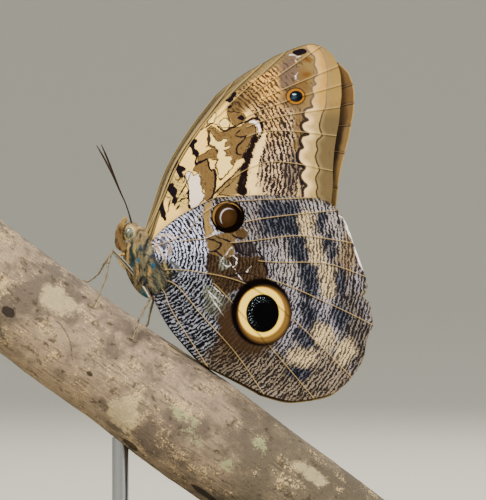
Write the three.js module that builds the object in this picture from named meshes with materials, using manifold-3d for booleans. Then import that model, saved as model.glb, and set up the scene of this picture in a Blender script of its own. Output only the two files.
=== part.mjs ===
// Owl butterfly, life size, at rest with its wings closed over its back.
// It grips a cut length of branch that a plain display stand holds up.
// Millimetres, +Z up. The head points to -X and the left wings face -Y.
import * as THREE from 'three';
import { mergeVertices } from 'three/addons/utils/BufferGeometryUtils.js';
import Module from 'manifold-3d';

const wasm = await Module();
wasm.setup();

// Driving dimensions
const GAP = 0.3;
const HINGE = new THREE.Vector3(-2.1, 0, 120);

const THORAX = { centre: [-1.8, -6.6], length: 10.8, width: 4.6, depth: 5.6, tilt: 75.5 };
const HEAD = { centre: [-5.7, 2.2], length: 2.5, width: 2.6, height: 3.1, tilt: 12 };
const EYE = { centre: [-6.1, 2.1], side: 1.75, length: 1.6, width: 1.5, height: 2.05, tilt: 20 };
const ABDOMEN = { start: [0.6, -13.2], end: [17.4, -31.8], sag: 0.8, radius: 3.2 };

const WING = { thickness: 0.5, ridge: 0.17, ridgeHalfWidth: 0.45, rows: 11 };
const FORE_LAYER = { far: 0.8, near: 1.5, root: 1.5 };
const HIND_LAYER = { far: 2.05, near: 4.3, root: 2.7 };
const BODY_REACH = { inner: 4.5, outer: 15 };
const ROOT_RISE = 4;
const FAR_FOREWING_TURN = 5.2;
const FAR_HINDWING_TURN = 1.2;

const BRANCH = { middle: [0, 71.8], slope: 35.9, radius: 16.5, upper: 80, lower: 80 };
const STAND = { width: 120, depth: 70, thickness: 6, corner: 8, rodRadius: 2.5, rods: [-11, 28] };

const ROUND = { body: 20, head: 16, eye: 14, limb: 6, palp: 8, rod: 16, branch: 24 };

// The leading edge comes first. A vein's points run outward from the thorax, in the wing's plane from the hinge.
// `from` is the share of its length at which the vein's ridge begins.
const FOREWING = {
  rootAlong: [-8, -3.2],
  rootDorsal: [2, 3],
  crossVein: { row: 7, cells: [5, 7] },
  veins: [
    { from: 0, path: [[0.1, 8], [4.6, 21], [11.7, 33], [19.5, 43.2]] },
    { from: 0, path: [[1.2, 7.8], [8.4, 24.6], [18.9, 39.3], [24.9, 47.5]] },
    { from: 0, path: [[1.8, 7.8], [10.2, 26.1], [21.6, 41.1], [33.6, 52.8]] },
    { from: 0.6, path: [[2.4, 7.8], [12, 27], [22.8, 39.6], [40.8, 56.5]] },
    { from: 0.7, path: [[3, 7.8], [13.5, 27.6], [25.8, 39.9], [51.3, 58.2]] },
    { from: 0.7, path: [[3.6, 7.8], [14.7, 27.6], [28.5, 39.6], [56.4, 52.2]] },
    { from: 0.6, path: [[4.2, 7.2], [16.2, 26.7], [30.6, 37.8], [57.3, 46.6]] },
    { from: 0.6, path: [[5.1, 6.9], [18.6, 25.8], [32.7, 35.4], [57, 39.9]] },
    { from: 0.6, path: [[6, 6.3], [21, 24], [33.6, 32.5], [55.9, 31.3]] },
    { from: 0.5, path: [[7.5, 4.8], [22.5, 17.1], [36, 23.4], [54.8, 20.8]] },
    { from: 0, path: [[8.4, 3.3], [19.5, 10.5], [28.5, 11.7], [54.3, 10.8]] },
    { from: 0, path: [[9, 0.6], [21, 4.2], [36, 6.3], [53.9, 6.9]] },
    { from: 1, path: [[10.5, -2.1], [24, 0.6], [39, 3.3], [53.1, 5.1]] },
  ],
  // The margin's points between each vein and the next.
  margin: [
    [[22.2, 45.6]], [[29.1, 50.4]], [[37.2, 55]], [[44.4, 57.9], [48.2, 58.8]], [[54.6, 55.6]], [[57.1, 49.5]],
    [[57.4, 43.2]], [[56.7, 35.7]], [[55.2, 26.2]], [[54.8, 15.9]], [], [],
  ],
};

const HINDWING = {
  rootAlong: [-5, 8],
  rootDorsal: [3, 0.5],
  crossVein: { row: 6, cells: [3, 4] },
  veins: [
    { from: 0, path: [[3.9, 3.3], [9, 7.3], [15.6, 10.9], [19.8, 12.8]] },
    { from: 0, path: [[9.9, 1.5], [16.2, 8.1], [22.5, 11.1], [33, 12], [48.6, 12.7]] },
    { from: 0.15, path: [[8, -0.6], [17.2, 0.7], [23.1, 3.9], [34.8, 6.6], [56.4, 9]] },
    { from: 0.4, path: [[12, -2.1], [30, -0.3], [45, 1.3], [60.9, -0.9]] },
    { from: 0.5, path: [[15, -4.5], [35.7, -6.5], [52.5, -7], [64.5, -10.9]] },
    { from: 0.5, path: [[12, -8.1], [34.8, -11.4], [54, -19.2], [66.9, -25.5]] },
    { from: 0, path: [[12, -9.2], [28.5, -13], [42, -22.8], [60.6, -41.2]] },
    { from: 0.3, path: [[12, -10.6], [18.9, -12.8], [31.5, -26.7], [49.2, -47.4]] },
    { from: 0, path: [[7.5, -13.2], [15.9, -22.8], [25.5, -33.6], [34.2, -46.2]] },
    { from: 0, path: [[4.2, -15.2], [6.9, -21.6], [17.4, -37.9]] },
    { from: 1, path: [[1.5, -17.9], [6.2, -26.4], [15, -36.3]] },
  ],
  margin: [
    [[34, 13.5]], [[53.1, 11.6]], [[59.1, 4.4]], [[62.7, -5.7]], [[65.2, -14.2], [63.6, -16.6], [65.8, -19.2]],
    [[64.9, -30.3], [63.9, -35.6]], [[55.4, -45.6]], [[42, -48.1]], [[25.8, -41.9]], [],
  ],
};

// A leg's joints run body, knee and ankle from the hinge, as [along X, height, sideways].
// Its foot is on the branch, as [along the branch from its middle, degrees round from the top].
const LEG = { femur: [0.62, 0.5], tibia: [0.42, 0.36], tarsus: [0.36, 0.27] };
const LEGS = {
  mid_left: { joints: [[-4.2, -10.8, -2.6], [-11.1, -3, -7], [-12.9, -11.4, -10.5]], foot: [-33.1, -44] },
  mid_right: { joints: [[-4.2, -10.8, 2.6], [-11.4, -3.6, 6], [-15.9, -10.2, 9.5]], foot: [-38.9, 12] },
  hind_left: { joints: [[-2.1, -13.8, -2.2], [0.3, -17.4, -8], [-3.6, -24.9, -9.5]], foot: [-17.8, -49] },
  hind_right: { joints: [[-2.1, -13.8, 2.2], [0.9, -18, 8], [-0.9, -25.5, 8.8]], foot: [-17.5, 38] },
};
const FORELEG = { path: [[-4.2, -5.4], [-8.2, -4.2], [-9.2, -6], [-7.4, -8.8]], side: 1.5, radii: [0.6, 0.5, 0.45, 0.3] };
const PALP = { path: [[-7.2, -2.7], [-8.85, -1.2], [-9.06, 1.2], [-8.7, 3.6], [-7.5, 6.15]], side: 1.6, radii: [0.9, 1, 1, 0.85, 0.35] };
const PROBOSCIS = { centre: [-8.3, -1.9], radius: 1.15, half: 0.3 };
// The far antenna leans forward by `lean` at its tip.
const ANTENNA = {
  lean: { left: 0, right: 1.8 },
  path: [[-5.3, 4.2], [-6.9, 9.9], [-9, 15], [-11.1, 20.4], [-12.9, 24.9], [-14.4, 28.5]],
  side: [0.9, 1.2, 1.8, 2.6, 3.6, 4.6],
  radii: [0.34, 0.25, 0.25, 0.27, 0.4, 0.26],
};

const COLOURS = {
  fur: [0x8b7a5c, 0.9], wing: [0x8a7a66, 0.8], dark: [0x2b1a12, 0.6], leg: [0xc2ad84, 0.7],
  eye: [0x6d7a55, 0.3], palp: [0xa87a45, 0.9], bark: [0x8d8078, 0.9], stand: [0x2c2c2e, 0.4], steel: [0xb9bbbe, 0.3],
};

const smooth = THREE.MathUtils.smoothstep;
const lerp = THREE.MathUtils.lerp;

// A point from the wing hinge: forward and back, height, sideways.
function fromHinge(x, height, side = 0) {
  return new THREE.Vector3(HINGE.x + x, side, HINGE.z + height);
}

// Solid helpers

function toSolid(geometry) {
  const bare = geometry.clone();
  bare.deleteAttribute('normal');
  bare.deleteAttribute('uv');
  const merged = mergeVertices(bare, 1e-5);
  const mesh = new wasm.Mesh({
    numProp: 3,
    vertProperties: new Float32Array(merged.attributes.position.array),
    triVerts: new Uint32Array(merged.index.array),
  });
  return new wasm.Manifold(mesh);
}

function toGeometry(solid) {
  const mesh = solid.getMesh();
  const geometry = new THREE.BufferGeometry();
  geometry.setAttribute('position', new THREE.BufferAttribute(new Float32Array(mesh.vertProperties), 3));
  geometry.setIndex(Array.from(mesh.triVerts));
  return geometry;
}

function largest(solid) {
  const pieces = solid.decompose();
  return pieces.reduce((a, b) => (b.volume() > a.volume() ? b : a));
}

// The solid with every other one taken off it, and no loose scraps.
function cut(solid, ...others) {
  return largest(others.reduce((left, other) => left.subtract(other), solid));
}

// A closed geometry from positions and triangles, turned so that its faces point out.
function closedGeometry(points, triangles) {
  let volume = 0;
  for (const [a, b, c] of triangles) {
    volume += points[a].dot(new THREE.Vector3().crossVectors(points[b], points[c]));
  }
  const order = volume < 0 ? (t) => [t[0], t[2], t[1]] : (t) => t;
  const geometry = new THREE.BufferGeometry().setFromPoints(points);
  geometry.setIndex(triangles.flatMap(order));
  return geometry;
}

// A closed solid through rings of equal count, with a pointed or flat fan at each end.
function loft(rings, tips) {
  const points = rings.flat();
  const count = rings[0].length;
  const triangles = [];
  for (let r = 0; r + 1 < rings.length; r++) {
    for (let i = 0; i < count; i++) {
      const j = (i + 1) % count;
      const [a, b, c, d] = [r * count + i, r * count + j, (r + 1) * count + j, (r + 1) * count + i];
      triangles.push([a, b, c], [a, c, d]);
    }
  }
  const last = (rings.length - 1) * count;
  const [first, end] = [points.push(tips[0]) - 1, points.push(tips[1]) - 1];
  for (let i = 0; i < count; i++) {
    const j = (i + 1) % count;
    triangles.push([first, j, i], [end, last + i, last + j]);
  }
  return closedGeometry(points, triangles);
}

// The value of a list of numbers at a share of its length.
function along(values, t) {
  const place = t * (values.length - 1);
  const i = Math.min(Math.floor(place), values.length - 2);
  return lerp(values[i], values[i + 1], place - i);
}

// A tapering limb along a smooth curve, rounded at both ends. `grow` makes it fatter and longer all round.
function limb(points, radii, steps, grow = 0, sides = ROUND.limb) {
  const curve = new THREE.CatmullRomCurve3(points, false, 'centripetal');
  const frames = curve.computeFrenetFrames(steps, false);
  const rings = [];
  const tips = [];
  const ring = (centre, frame, radius) => Array.from({ length: sides }, (_, i) => {
    const angle = (i / sides) * 2 * Math.PI;
    return centre.clone()
      .addScaledVector(frames.normals[frame], Math.cos(angle) * radius)
      .addScaledVector(frames.binormals[frame], Math.sin(angle) * radius);
  });
  for (let s = 0; s <= steps; s++) {
    const centre = curve.getPointAt(s / steps);
    const radius = along(radii, s / steps) + grow;
    const outward = s === 0 ? -1 : s === steps ? 1 : 0;
    const rim = ring(centre, s, radius);
    const shoulder = centre.clone().addScaledVector(frames.tangents[s], outward * radius * 0.6);
    if (outward === -1) rings.push(ring(shoulder, s, radius * 0.7), rim);
    if (outward === 0) rings.push(rim);
    if (outward === 1) rings.push(rim, ring(shoulder, s, radius * 0.7));
    if (outward !== 0) tips.push(centre.clone().addScaledVector(frames.tangents[s], outward * radius));
  }
  return loft(rings, tips);
}

// An ellipsoid with its poles along its length, tilted nose up in the plane of symmetry.
function ellipsoid(centre, length, width, depth, tilt, grow, sides) {
  const geometry = new THREE.SphereGeometry(1, sides, Math.round(sides * 0.6));
  geometry.rotateZ(Math.PI / 2);
  geometry.scale(length + grow, width + grow, depth + grow);
  geometry.rotateY(THREE.MathUtils.degToRad(tilt));
  geometry.translate(centre.x, centre.y, centre.z);
  return geometry;
}

// Body

function thoraxShape(grow = 0) {
  const { centre, length, width, depth, tilt } = THORAX;
  return toSolid(ellipsoid(fromHinge(...centre), length, width, depth, tilt, grow, ROUND.body));
}

// A point in the thorax's own frame, in the plane of symmetry: along it towards the tail, and towards its back.
function onThorax(alongAxis, dorsal) {
  const tilt = THREE.MathUtils.degToRad(THORAX.tilt);
  const [x, z] = THORAX.centre;
  return new THREE.Vector2(
    x + alongAxis * Math.cos(tilt) + dorsal * Math.sin(tilt),
    z - alongAxis * Math.sin(tilt) + dorsal * Math.cos(tilt),
  );
}

function headShape(grow = 0) {
  const { centre, length, width, height, tilt } = HEAD;
  return toSolid(ellipsoid(fromHinge(...centre), length, width, height, tilt, grow, ROUND.head));
}

function eyeShape(side, grow = 0) {
  const centre = fromHinge(...EYE.centre, side * EYE.side);
  return toSolid(ellipsoid(centre, EYE.length, EYE.width, EYE.height, EYE.tilt, grow, ROUND.eye));
}

function abdomenShape() {
  const start = fromHinge(...ABDOMEN.start);
  const end = fromHinge(...ABDOMEN.end);
  const middle = start.clone().lerp(end, 0.5);
  middle.z += ABDOMEN.sag;
  const r = ABDOMEN.radius;
  return toSolid(limb([start, middle, end], [0.72 * r, r, r, 0.95 * r, 0.82 * r, 0.4 * r], 10, 0, 14));
}

function sidePath(path, sides) {
  return path.map(([x, z], i) => fromHinge(x, z, Array.isArray(sides) ? sides[i] : sides));
}

function proboscisShape() {
  const { radius, half } = PROBOSCIS;
  const outline = [[0, -half], [radius * 0.9, -half], [radius, 0], [radius * 0.9, half], [0, half]];
  const geometry = new THREE.LatheGeometry(outline.map(([x, y]) => new THREE.Vector2(x, y)), ROUND.rod);
  const centre = fromHinge(...PROBOSCIS.centre);
  geometry.translate(centre.x, centre.y, centre.z);
  return toSolid(geometry);
}

// Wings

const thoraxFront = onThorax(-THORAX.length, 0);
const thoraxRear = onThorax(THORAX.length * 0.8, 0);
const abdomenEnd = new THREE.Vector2(...ABDOMEN.end);

function distanceToSegment(p, a, b) {
  const span = b.clone().sub(a);
  const share = THREE.MathUtils.clamp(p.clone().sub(a).dot(span) / span.lengthSq(), 0, 1);
  return p.distanceTo(a.clone().addScaledVector(span, share));
}

// How far out a wing's sheet lies: round the body it bulges, further off it closes on its fellow.
function sheetSide(layer, p, fromRoot) {
  const toBody = Math.min(distanceToSegment(p, thoraxFront, thoraxRear), distanceToSegment(p, thoraxRear, abdomenEnd));
  const open = lerp(layer.near, layer.far, smooth(toBody, BODY_REACH.inner, BODY_REACH.outer));
  return lerp(layer.root, open, smooth(fromRoot, 0, ROOT_RISE));
}

// Columns of points that follow the veins. Each vein is a crest with a flank on either side.
function wingColumns(wing) {
  const { veins, rootAlong, rootDorsal, margin } = wing;
  const curves = veins.map((vein, i) => {
    const share = i / (veins.length - 1);
    const root = onThorax(lerp(...rootAlong, share), lerp(...rootDorsal, share));
    return new THREE.SplineCurve([root, ...vein.path.map((p) => new THREE.Vector2(...p))]);
  });
  const rowAt = (curve) => curve.getSpacedPoints(WING.rows);
  const spines = curves.map(rowAt);
  const columns = [];
  spines.forEach((spine, k) => {
    columns.push({ points: spine, vein: k, cell: -1 });
    if (k + 1 === spines.length) return;
    const next = spines[k + 1];
    const count = margin[k].length + 1;
    const stops = margin[k].map((_, j) => (j + 1) / count);
    const bulge = [0, ...stops, 1].map((f, j) => {
      const straight = spine[WING.rows].clone().lerp(next[WING.rows], f);
      return margin[k][j - 1] ? new THREE.Vector2(...margin[k][j - 1]).sub(straight) : new THREE.Vector2();
    });
    const column = (shareAt) => spine.map((p, r) => {
      const f = shareAt(r);
      const j = Math.min(Math.floor(f * count), count - 1);
      const push = bulge[j].clone().lerp(bulge[j + 1], f * count - j);
      return p.clone().lerp(next[r], f).addScaledVector(push, (r / WING.rows) ** 4);
    });
    const flank = (r) => Math.min(0.3 / count, WING.ridgeHalfWidth / spine[r].distanceTo(next[r]));
    columns.push({ points: column(flank), vein: -1, cell: k });
    stops.forEach((f) => columns.push({ points: column(() => f), vein: -1, cell: k }));
    columns.push({ points: column((r) => 1 - flank(r)), vein: -1, cell: k });
  });
  return columns;
}

function ridgeHeight(wing, column, row) {
  const { crossVein, veins } = wing;
  if (column.vein >= 0) {
    const share = row / WING.rows;
    const from = veins[column.vein].from;
    return from === 0 || share >= from ? WING.ridge * (1 - 0.5 * share) : 0;
  }
  const onCross = row === crossVein.row && column.cell >= crossVein.cells[0] && column.cell <= crossVein.cells[1];
  return onCross ? WING.ridge * 0.5 : 0;
}

// One wing as a closed sheet, alike on both faces. `turn` swings it back about the hinge, in degrees.
function wingShape(wing, layer, side, turn) {
  const columns = wingColumns(wing);
  const rows = WING.rows + 1;
  const swing = THREE.MathUtils.degToRad(-turn);
  const origin = new THREE.Vector2();
  const faces = [[], []];
  columns.forEach((column) => {
    const root = column.points[0].clone().rotateAround(origin, swing);
    column.points.forEach((flat, row) => {
      const p = flat.clone().rotateAround(origin, swing);
      const y = sheetSide(layer, p, p.distanceTo(root));
      const half = WING.thickness / 2 + ridgeHeight(wing, column, row);
      faces[0].push(fromHinge(p.x, p.y, side * (y + half)));
      faces[1].push(fromHinge(p.x, p.y, side * (y - half)));
    });
  });
  const back = faces[0].length;
  const triangles = [];
  for (let c = 0; c + 1 < columns.length; c++) {
    for (let r = 0; r + 1 < rows; r++) {
      const [a, b, d, e] = [c * rows + r, c * rows + r + 1, (c + 1) * rows + r + 1, (c + 1) * rows + r];
      triangles.push([a, b, d], [a, d, e]);
      triangles.push([back + a, back + d, back + b], [back + a, back + e, back + d]);
    }
  }
  const wall = (a, b) => triangles.push([b, a, back + a], [b, back + a, back + b]);
  const lastColumn = (columns.length - 1) * rows;
  for (let r = 0; r + 1 < rows; r++) {
    wall(r, r + 1);
    wall(lastColumn + r + 1, lastColumn + r);
  }
  for (let c = 0; c + 1 < columns.length; c++) {
    wall((c + 1) * rows, c * rows);
    wall(c * rows + rows - 1, (c + 1) * rows + rows - 1);
  }
  return toSolid(closedGeometry(faces.flat(), triangles));
}

// Branch and stand

const slope = THREE.MathUtils.degToRad(BRANCH.slope);
const branchAxis = new THREE.Vector3(Math.cos(slope), 0, -Math.sin(slope));
const branchUp = new THREE.Vector3(Math.sin(slope), 0, Math.cos(slope));
const branchMiddle = new THREE.Vector3(BRANCH.middle[0], 0, BRANCH.middle[1]);

function branchRadius(s) {
  return BRANCH.radius + 0.35 * Math.sin(s / 17 + 0.6) + 0.2 * Math.sin(s / 7.3);
}

// A point on the branch: along it from its middle, degrees round from the top, and how far off its bark.
function onBranch(s, degrees, lift = 0) {
  const angle = THREE.MathUtils.degToRad(degrees);
  const r = branchRadius(s) + lift;
  return branchMiddle.clone()
    .addScaledVector(branchAxis, s)
    .addScaledVector(branchUp, Math.cos(angle) * r)
    .add(new THREE.Vector3(0, Math.sin(angle) * r, 0));
}

function branchShape(grow = 0) {
  const rings = [];
  const steps = 14;
  for (let i = 0; i <= steps; i++) {
    const s = lerp(-BRANCH.upper, BRANCH.lower, i / steps);
    rings.push(Array.from({ length: ROUND.branch }, (_, j) => onBranch(s, (360 * j) / ROUND.branch, grow)));
  }
  const ends = [-BRANCH.upper, BRANCH.lower].map((s) => branchMiddle.clone().addScaledVector(branchAxis, s));
  return toSolid(loft(rings, ends));
}

function baseShape() {
  const { width, depth, thickness, corner } = STAND;
  const [x, y] = [width / 2, depth / 2];
  const outline = new THREE.Shape();
  outline.moveTo(-x + corner, -y);
  outline.lineTo(x - corner, -y);
  outline.absarc(x - corner, -y + corner, corner, -Math.PI / 2, 0);
  outline.absarc(x - corner, y - corner, corner, 0, Math.PI / 2);
  outline.absarc(-x + corner, y - corner, corner, Math.PI / 2, Math.PI);
  outline.absarc(-x + corner, -y + corner, corner, Math.PI, Math.PI * 1.5);
  return toSolid(new THREE.ExtrudeGeometry(outline, { depth: thickness, bevelEnabled: false, curveSegments: 6 }));
}

// An upright rod from the base into the branch, later trimmed to the bark.
function rodShape(x) {
  const foot = STAND.thickness + GAP;
  const top = branchMiddle.z - x * Math.tan(slope);
  const geometry = new THREE.CylinderGeometry(STAND.rodRadius, STAND.rodRadius, top - foot, ROUND.rod);
  geometry.rotateX(Math.PI / 2);
  geometry.translate(x, 0, (top + foot) / 2);
  return toSolid(geometry);
}

// Legs

function legShapes({ joints, foot }, thoraxGrown) {
  const [body, knee, ankle] = joints.map((p) => fromHinge(...p));
  const endLift = LEG.tarsus[1] + GAP;
  const [s, degrees] = foot;
  const toe = onBranch(s, degrees, endLift);
  const rest = onBranch(s + 1.2, degrees * 0.97, endLift + 0.6);
  const femur = (grow) => toSolid(limb([body, knee], LEG.femur, 4, grow));
  const tibia = (grow) => toSolid(limb([knee, ankle], LEG.tibia, 4, grow));
  const tarsus = toSolid(limb([ankle, rest, toe], LEG.tarsus, 6));
  return {
    femur: cut(femur(0), thoraxGrown),
    tibia: cut(tibia(0), femur(GAP)),
    tarsus: cut(tarsus, tibia(GAP)),
  };
}

// Assembly

const butterfly = new THREE.Group();

function add(name, solid, [colour, roughness], metalness = 0) {
  const material = new THREE.MeshStandardMaterial({ color: colour, roughness, metalness });
  const mesh = new THREE.Mesh(toGeometry(solid), material);
  mesh.name = name;
  butterfly.add(mesh);
}

const SIDES = { left: -1, right: 1 };
const thoraxGrown = thoraxShape(GAP);
const headGrown = headShape(GAP);
const eyesGrown = Object.values(SIDES).map((side) => eyeShape(side, GAP));

add('head', cut(headShape(), ...eyesGrown), COLOURS.fur);
add('thorax', cut(thoraxShape(), headGrown, ...eyesGrown), COLOURS.fur);
add('abdomen', cut(abdomenShape(), thoraxGrown), COLOURS.fur);
add('proboscis', cut(proboscisShape(), headGrown, thoraxGrown), COLOURS.dark);

for (const [name, side] of Object.entries(SIDES)) {
  const far = side > 0;
  add(`eye_${name}`, eyeShape(side), COLOURS.eye);
  const palp = toSolid(limb(sidePath(PALP.path, side * PALP.side), PALP.radii, 8, 0, ROUND.palp));
  add(`palp_${name}`, cut(palp, headGrown, thoraxGrown, ...eyesGrown), COLOURS.palp);
  const antennaSides = ANTENNA.side.map((y) => side * y);
  const last = ANTENNA.path.length - 1;
  const antennaPath = ANTENNA.path.map(([x, z], i) => [x - ANTENNA.lean[name] * (i / last) ** 2, z]);
  const antenna = toSolid(limb(sidePath(antennaPath, antennaSides), ANTENNA.radii, 14));
  add(`antenna_${name}`, cut(antenna, headGrown), COLOURS.dark);
  const fore = toSolid(limb(sidePath(FORELEG.path, side * FORELEG.side), FORELEG.radii, 7));
  add(`foreleg_${name}`, cut(fore, thoraxGrown), COLOURS.leg);
  const forewing = wingShape(FOREWING, FORE_LAYER, side, far ? FAR_FOREWING_TURN : 0);
  add(`forewing_${name}`, cut(forewing, thoraxGrown), COLOURS.wing);
  const hindwing = wingShape(HINDWING, HIND_LAYER, side, far ? FAR_HINDWING_TURN : 0);
  add(`hindwing_${name}`, cut(hindwing, thoraxGrown), COLOURS.wing);
}

for (const [name, leg] of Object.entries(LEGS)) {
  for (const [segment, solid] of Object.entries(legShapes(leg, thoraxGrown))) {
    add(`${name}_${segment}`, solid, COLOURS.leg);
  }
}

const branchGrown = branchShape(GAP);
add('branch', branchShape(), COLOURS.bark);
add('stand_base', baseShape(), COLOURS.stand);
STAND.rods.forEach((x, i) => add(`stand_rod_${i + 1}`, cut(rodShape(x), branchGrown), COLOURS.steel, 1));

export default butterfly;
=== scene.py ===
"""The finish of the owl butterfly, its branch and its stand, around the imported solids.

Sizes in the tables are millimetres. Markings are placed by their pixels in the photograph.
"""
import math

import bpy
import numpy as np
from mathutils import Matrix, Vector


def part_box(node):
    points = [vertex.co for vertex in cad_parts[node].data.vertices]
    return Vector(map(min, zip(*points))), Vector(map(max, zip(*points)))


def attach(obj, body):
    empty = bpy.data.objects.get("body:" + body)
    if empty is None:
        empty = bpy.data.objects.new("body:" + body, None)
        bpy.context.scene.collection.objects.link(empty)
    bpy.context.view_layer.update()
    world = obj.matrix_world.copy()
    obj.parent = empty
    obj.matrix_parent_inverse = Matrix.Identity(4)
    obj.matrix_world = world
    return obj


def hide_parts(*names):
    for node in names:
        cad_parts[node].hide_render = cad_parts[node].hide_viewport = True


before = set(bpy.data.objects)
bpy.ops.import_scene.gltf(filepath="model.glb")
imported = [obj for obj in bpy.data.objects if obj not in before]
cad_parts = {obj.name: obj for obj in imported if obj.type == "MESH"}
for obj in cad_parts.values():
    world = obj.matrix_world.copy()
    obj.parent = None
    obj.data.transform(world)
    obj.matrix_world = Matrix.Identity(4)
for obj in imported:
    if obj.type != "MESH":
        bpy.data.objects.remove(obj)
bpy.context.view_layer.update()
bpy.ops.object.select_all(action="DESELECT")

MM = 0.001
MM_PER_PIXEL = 0.30
HINGE = np.array([-2.1, 120.0])
HINGE_PIXEL = np.array([150.0, 240.0])
SEED = 7
HANDS = (("left", -1), ("right", 1))

THORAX = {"centre": (-1.8, -6.6), "semi": (10.8, 4.6, 5.6), "tilt": 75.5}
HEAD = {"centre": (-5.7, 2.2), "semi": (2.5, 2.6, 3.1), "tilt": 12}
EYE = {"centre": (-6.1, 2.1), "side": 1.75, "semi": (1.6, 1.5, 2.05), "tilt": 20}
ABDOMEN = {"start": (0.6, -13.2), "end": (17.4, -31.8), "sag": 0.8, "radius": 3.2}

FORE_LAYER = {"far": 0.8, "near": 1.5, "root": 1.5}
HIND_LAYER = {"far": 2.05, "near": 4.3, "root": 2.7}
BODY_REACH = (4.5, 15)
ROOT_RISE = 4
FAR_FOREWING_TURN = 5.2
FAR_HINDWING_TURN = 1.2
WING_THICKNESS = 0.32
WING_ROWS = 155
COLUMN_SPACING = 0.5
VEIN_RIDGE = {"height": 0.12, "half_width": 0.4}
CELL_PLEAT = 0.1

# Veins run outward from the thorax, the leading edge first, in the wing's plane from the hinge.
FOREWING = {
    "leading_cells": 4,
    "root_along": (-8, -3.2),
    "root_dorsal": (2, 3),
    "veins": [
        [(0.1, 8), (4.6, 21), (11.7, 33), (19.5, 43.2)],
        [(1.2, 7.8), (8.4, 24.6), (18.9, 39.3), (24.9, 47.5)],
        [(1.8, 7.8), (10.2, 26.1), (21.6, 41.1), (33.6, 52.8)],
        [(2.4, 7.8), (12, 27), (22.8, 39.6), (40.8, 56.5)],
        [(3, 7.8), (13.5, 27.6), (25.8, 39.9), (51.3, 58.2)],
        [(3.6, 7.8), (14.7, 27.6), (28.5, 39.6), (56.4, 52.2)],
        [(4.2, 7.2), (16.2, 26.7), (30.6, 37.8), (57.3, 46.6)],
        [(5.1, 6.9), (18.6, 25.8), (32.7, 35.4), (57, 39.9)],
        [(6, 6.3), (21, 24), (33.6, 32.5), (55.9, 31.3)],
        [(7.5, 4.8), (22.5, 17.1), (36, 23.4), (54.8, 20.8)],
        [(8.4, 3.3), (19.5, 10.5), (28.5, 11.7), (54.3, 10.8)],
        [(9, 0.6), (21, 4.2), (36, 6.3), (53.9, 6.9)],
        [(10.5, -2.1), (24, 0.6), (39, 3.3), (53.1, 5.1)],
    ],
    "ridge_from": [0, 0, 0, 0.6, 0.7, 0.7, 0.62, 0.62, 0.62, 0.5, 0, 0, 1],
    "margin": [
        [(22.2, 45.6)], [(29.1, 50.4)], [(37.2, 55)], [(44.4, 57.9), (48.2, 58.8)], [(54.6, 55.6)],
        [(57.1, 49.5)], [(57.4, 43.2)], [(56.7, 35.7)], [(55.2, 26.2)], [(54.8, 15.9)], [], [],
    ],
}
HINDWING = {
    "leading_cells": 1,
    "root_along": (-5, 8),
    "root_dorsal": (3, 0.5),
    "veins": [
        [(3.9, 3.3), (9, 7.3), (15.6, 10.9), (19.8, 12.8)],
        [(9.9, 1.5), (16.2, 8.1), (22.5, 11.1), (33, 12), (48.6, 12.7)],
        [(8, -0.6), (17.2, 0.7), (23.1, 3.9), (34.8, 6.6), (56.4, 9)],
        [(12, -2.1), (30, -0.3), (45, 1.3), (60.9, -0.9)],
        [(15, -4.5), (35.7, -6.5), (52.5, -7), (64.5, -10.9)],
        [(12, -8.1), (34.8, -11.4), (54, -19.2), (66.9, -25.5)],
        [(12, -9.2), (28.5, -13), (42, -22.8), (60.6, -41.2)],
        [(12, -10.6), (18.9, -12.8), (31.5, -26.7), (49.2, -47.4)],
        [(7.5, -13.2), (15.9, -22.8), (25.5, -33.6), (34.2, -46.2)],
        [(4.2, -15.2), (6.9, -21.6), (17.4, -37.9)],
        [(1.5, -17.9), (6.2, -26.4), (15, -36.3)],
    ],
    "ridge_from": [0, 0, 0.15, 0.4, 0.5, 0.5, 0, 0.3, 0, 0, 1],
    "margin": [
        [(34, 13.5)], [(53.1, 11.6)], [(59.1, 4.4)], [(62.7, -5.7)],
        [(65.2, -14.2), (63.6, -16.6), (65.8, -19.2)], [(64.9, -30.3), (63.9, -35.6)],
        [(55.4, -45.6)], [(42, -48.1)], [(25.8, -41.9)], [],
    ],
}

BRANCH = {"middle": (0, 71.8), "slope": 35.9, "radius": 16.5, "upper": 80, "lower": 80}
STAND = {"width": 120, "depth": 70, "thickness": 6, "corner": 8, "bevel": 0.6,
         "rod_radius": 2.5, "rods": (-11, 28)}


# How brightly the room lights a surface that faces the camera, and the brightest tone it can show.
LIGHT_GAIN = 3.0
BRIGHTEST = 224


def seen(red, green, blue):
    """The surface colour that this room's light and Blender's usual view show as this one of 0 to 255.

    Its numbers were fitted to tones in this room's own renders.
    """
    warm = max(red - blue, 0)
    leak = min(max(0.02 + 0.00375 * (max(red, green, blue) - 156), 0), 0.3)
    asked = np.array([red - 0.05 * warm, green + 0.035 * warm, max(blue - warm * leak / (1 - leak), 4)])
    asked = asked * min(1, BRIGHTEST / asked.max()) / 255
    return tuple(float(c) for c in 0.187 * asked**1.12 / (1 - asked)**1.325 / LIGHT_GAIN)


# Curves and distances


def rounded(p, per_side):
    """A smooth curve from the second of the points to the last but one."""
    t = np.linspace(0, 1, per_side, endpoint=False)[:, None]
    curve = []
    for a, b, c, d in zip(p, p[1:], p[2:], p[3:]):
        u, v = (c - a) / 2, (d - b) / 2
        curve.append((2 * b - 2 * c + u + v) * t**3 + (-3 * b + 3 * c - 2 * u - v) * t**2 + u * t + b)
    return np.vstack([*curve, p[-2]])


def spline(points, count):
    """A smooth curve through the points, as evenly spaced points."""
    p = np.array(points, float)
    return resample(rounded(np.vstack([p[0], p, p[-1]]), 24), count)


def resample(path, count):
    """A path's points spaced evenly along its length."""
    lengths = np.concatenate([[0], np.cumsum(np.linalg.norm(np.diff(path, axis=0), axis=1))])
    where = np.linspace(0, lengths[-1], count)
    return np.stack([np.interp(where, lengths, path[:, i]) for i in range(path.shape[1])], axis=1)


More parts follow.
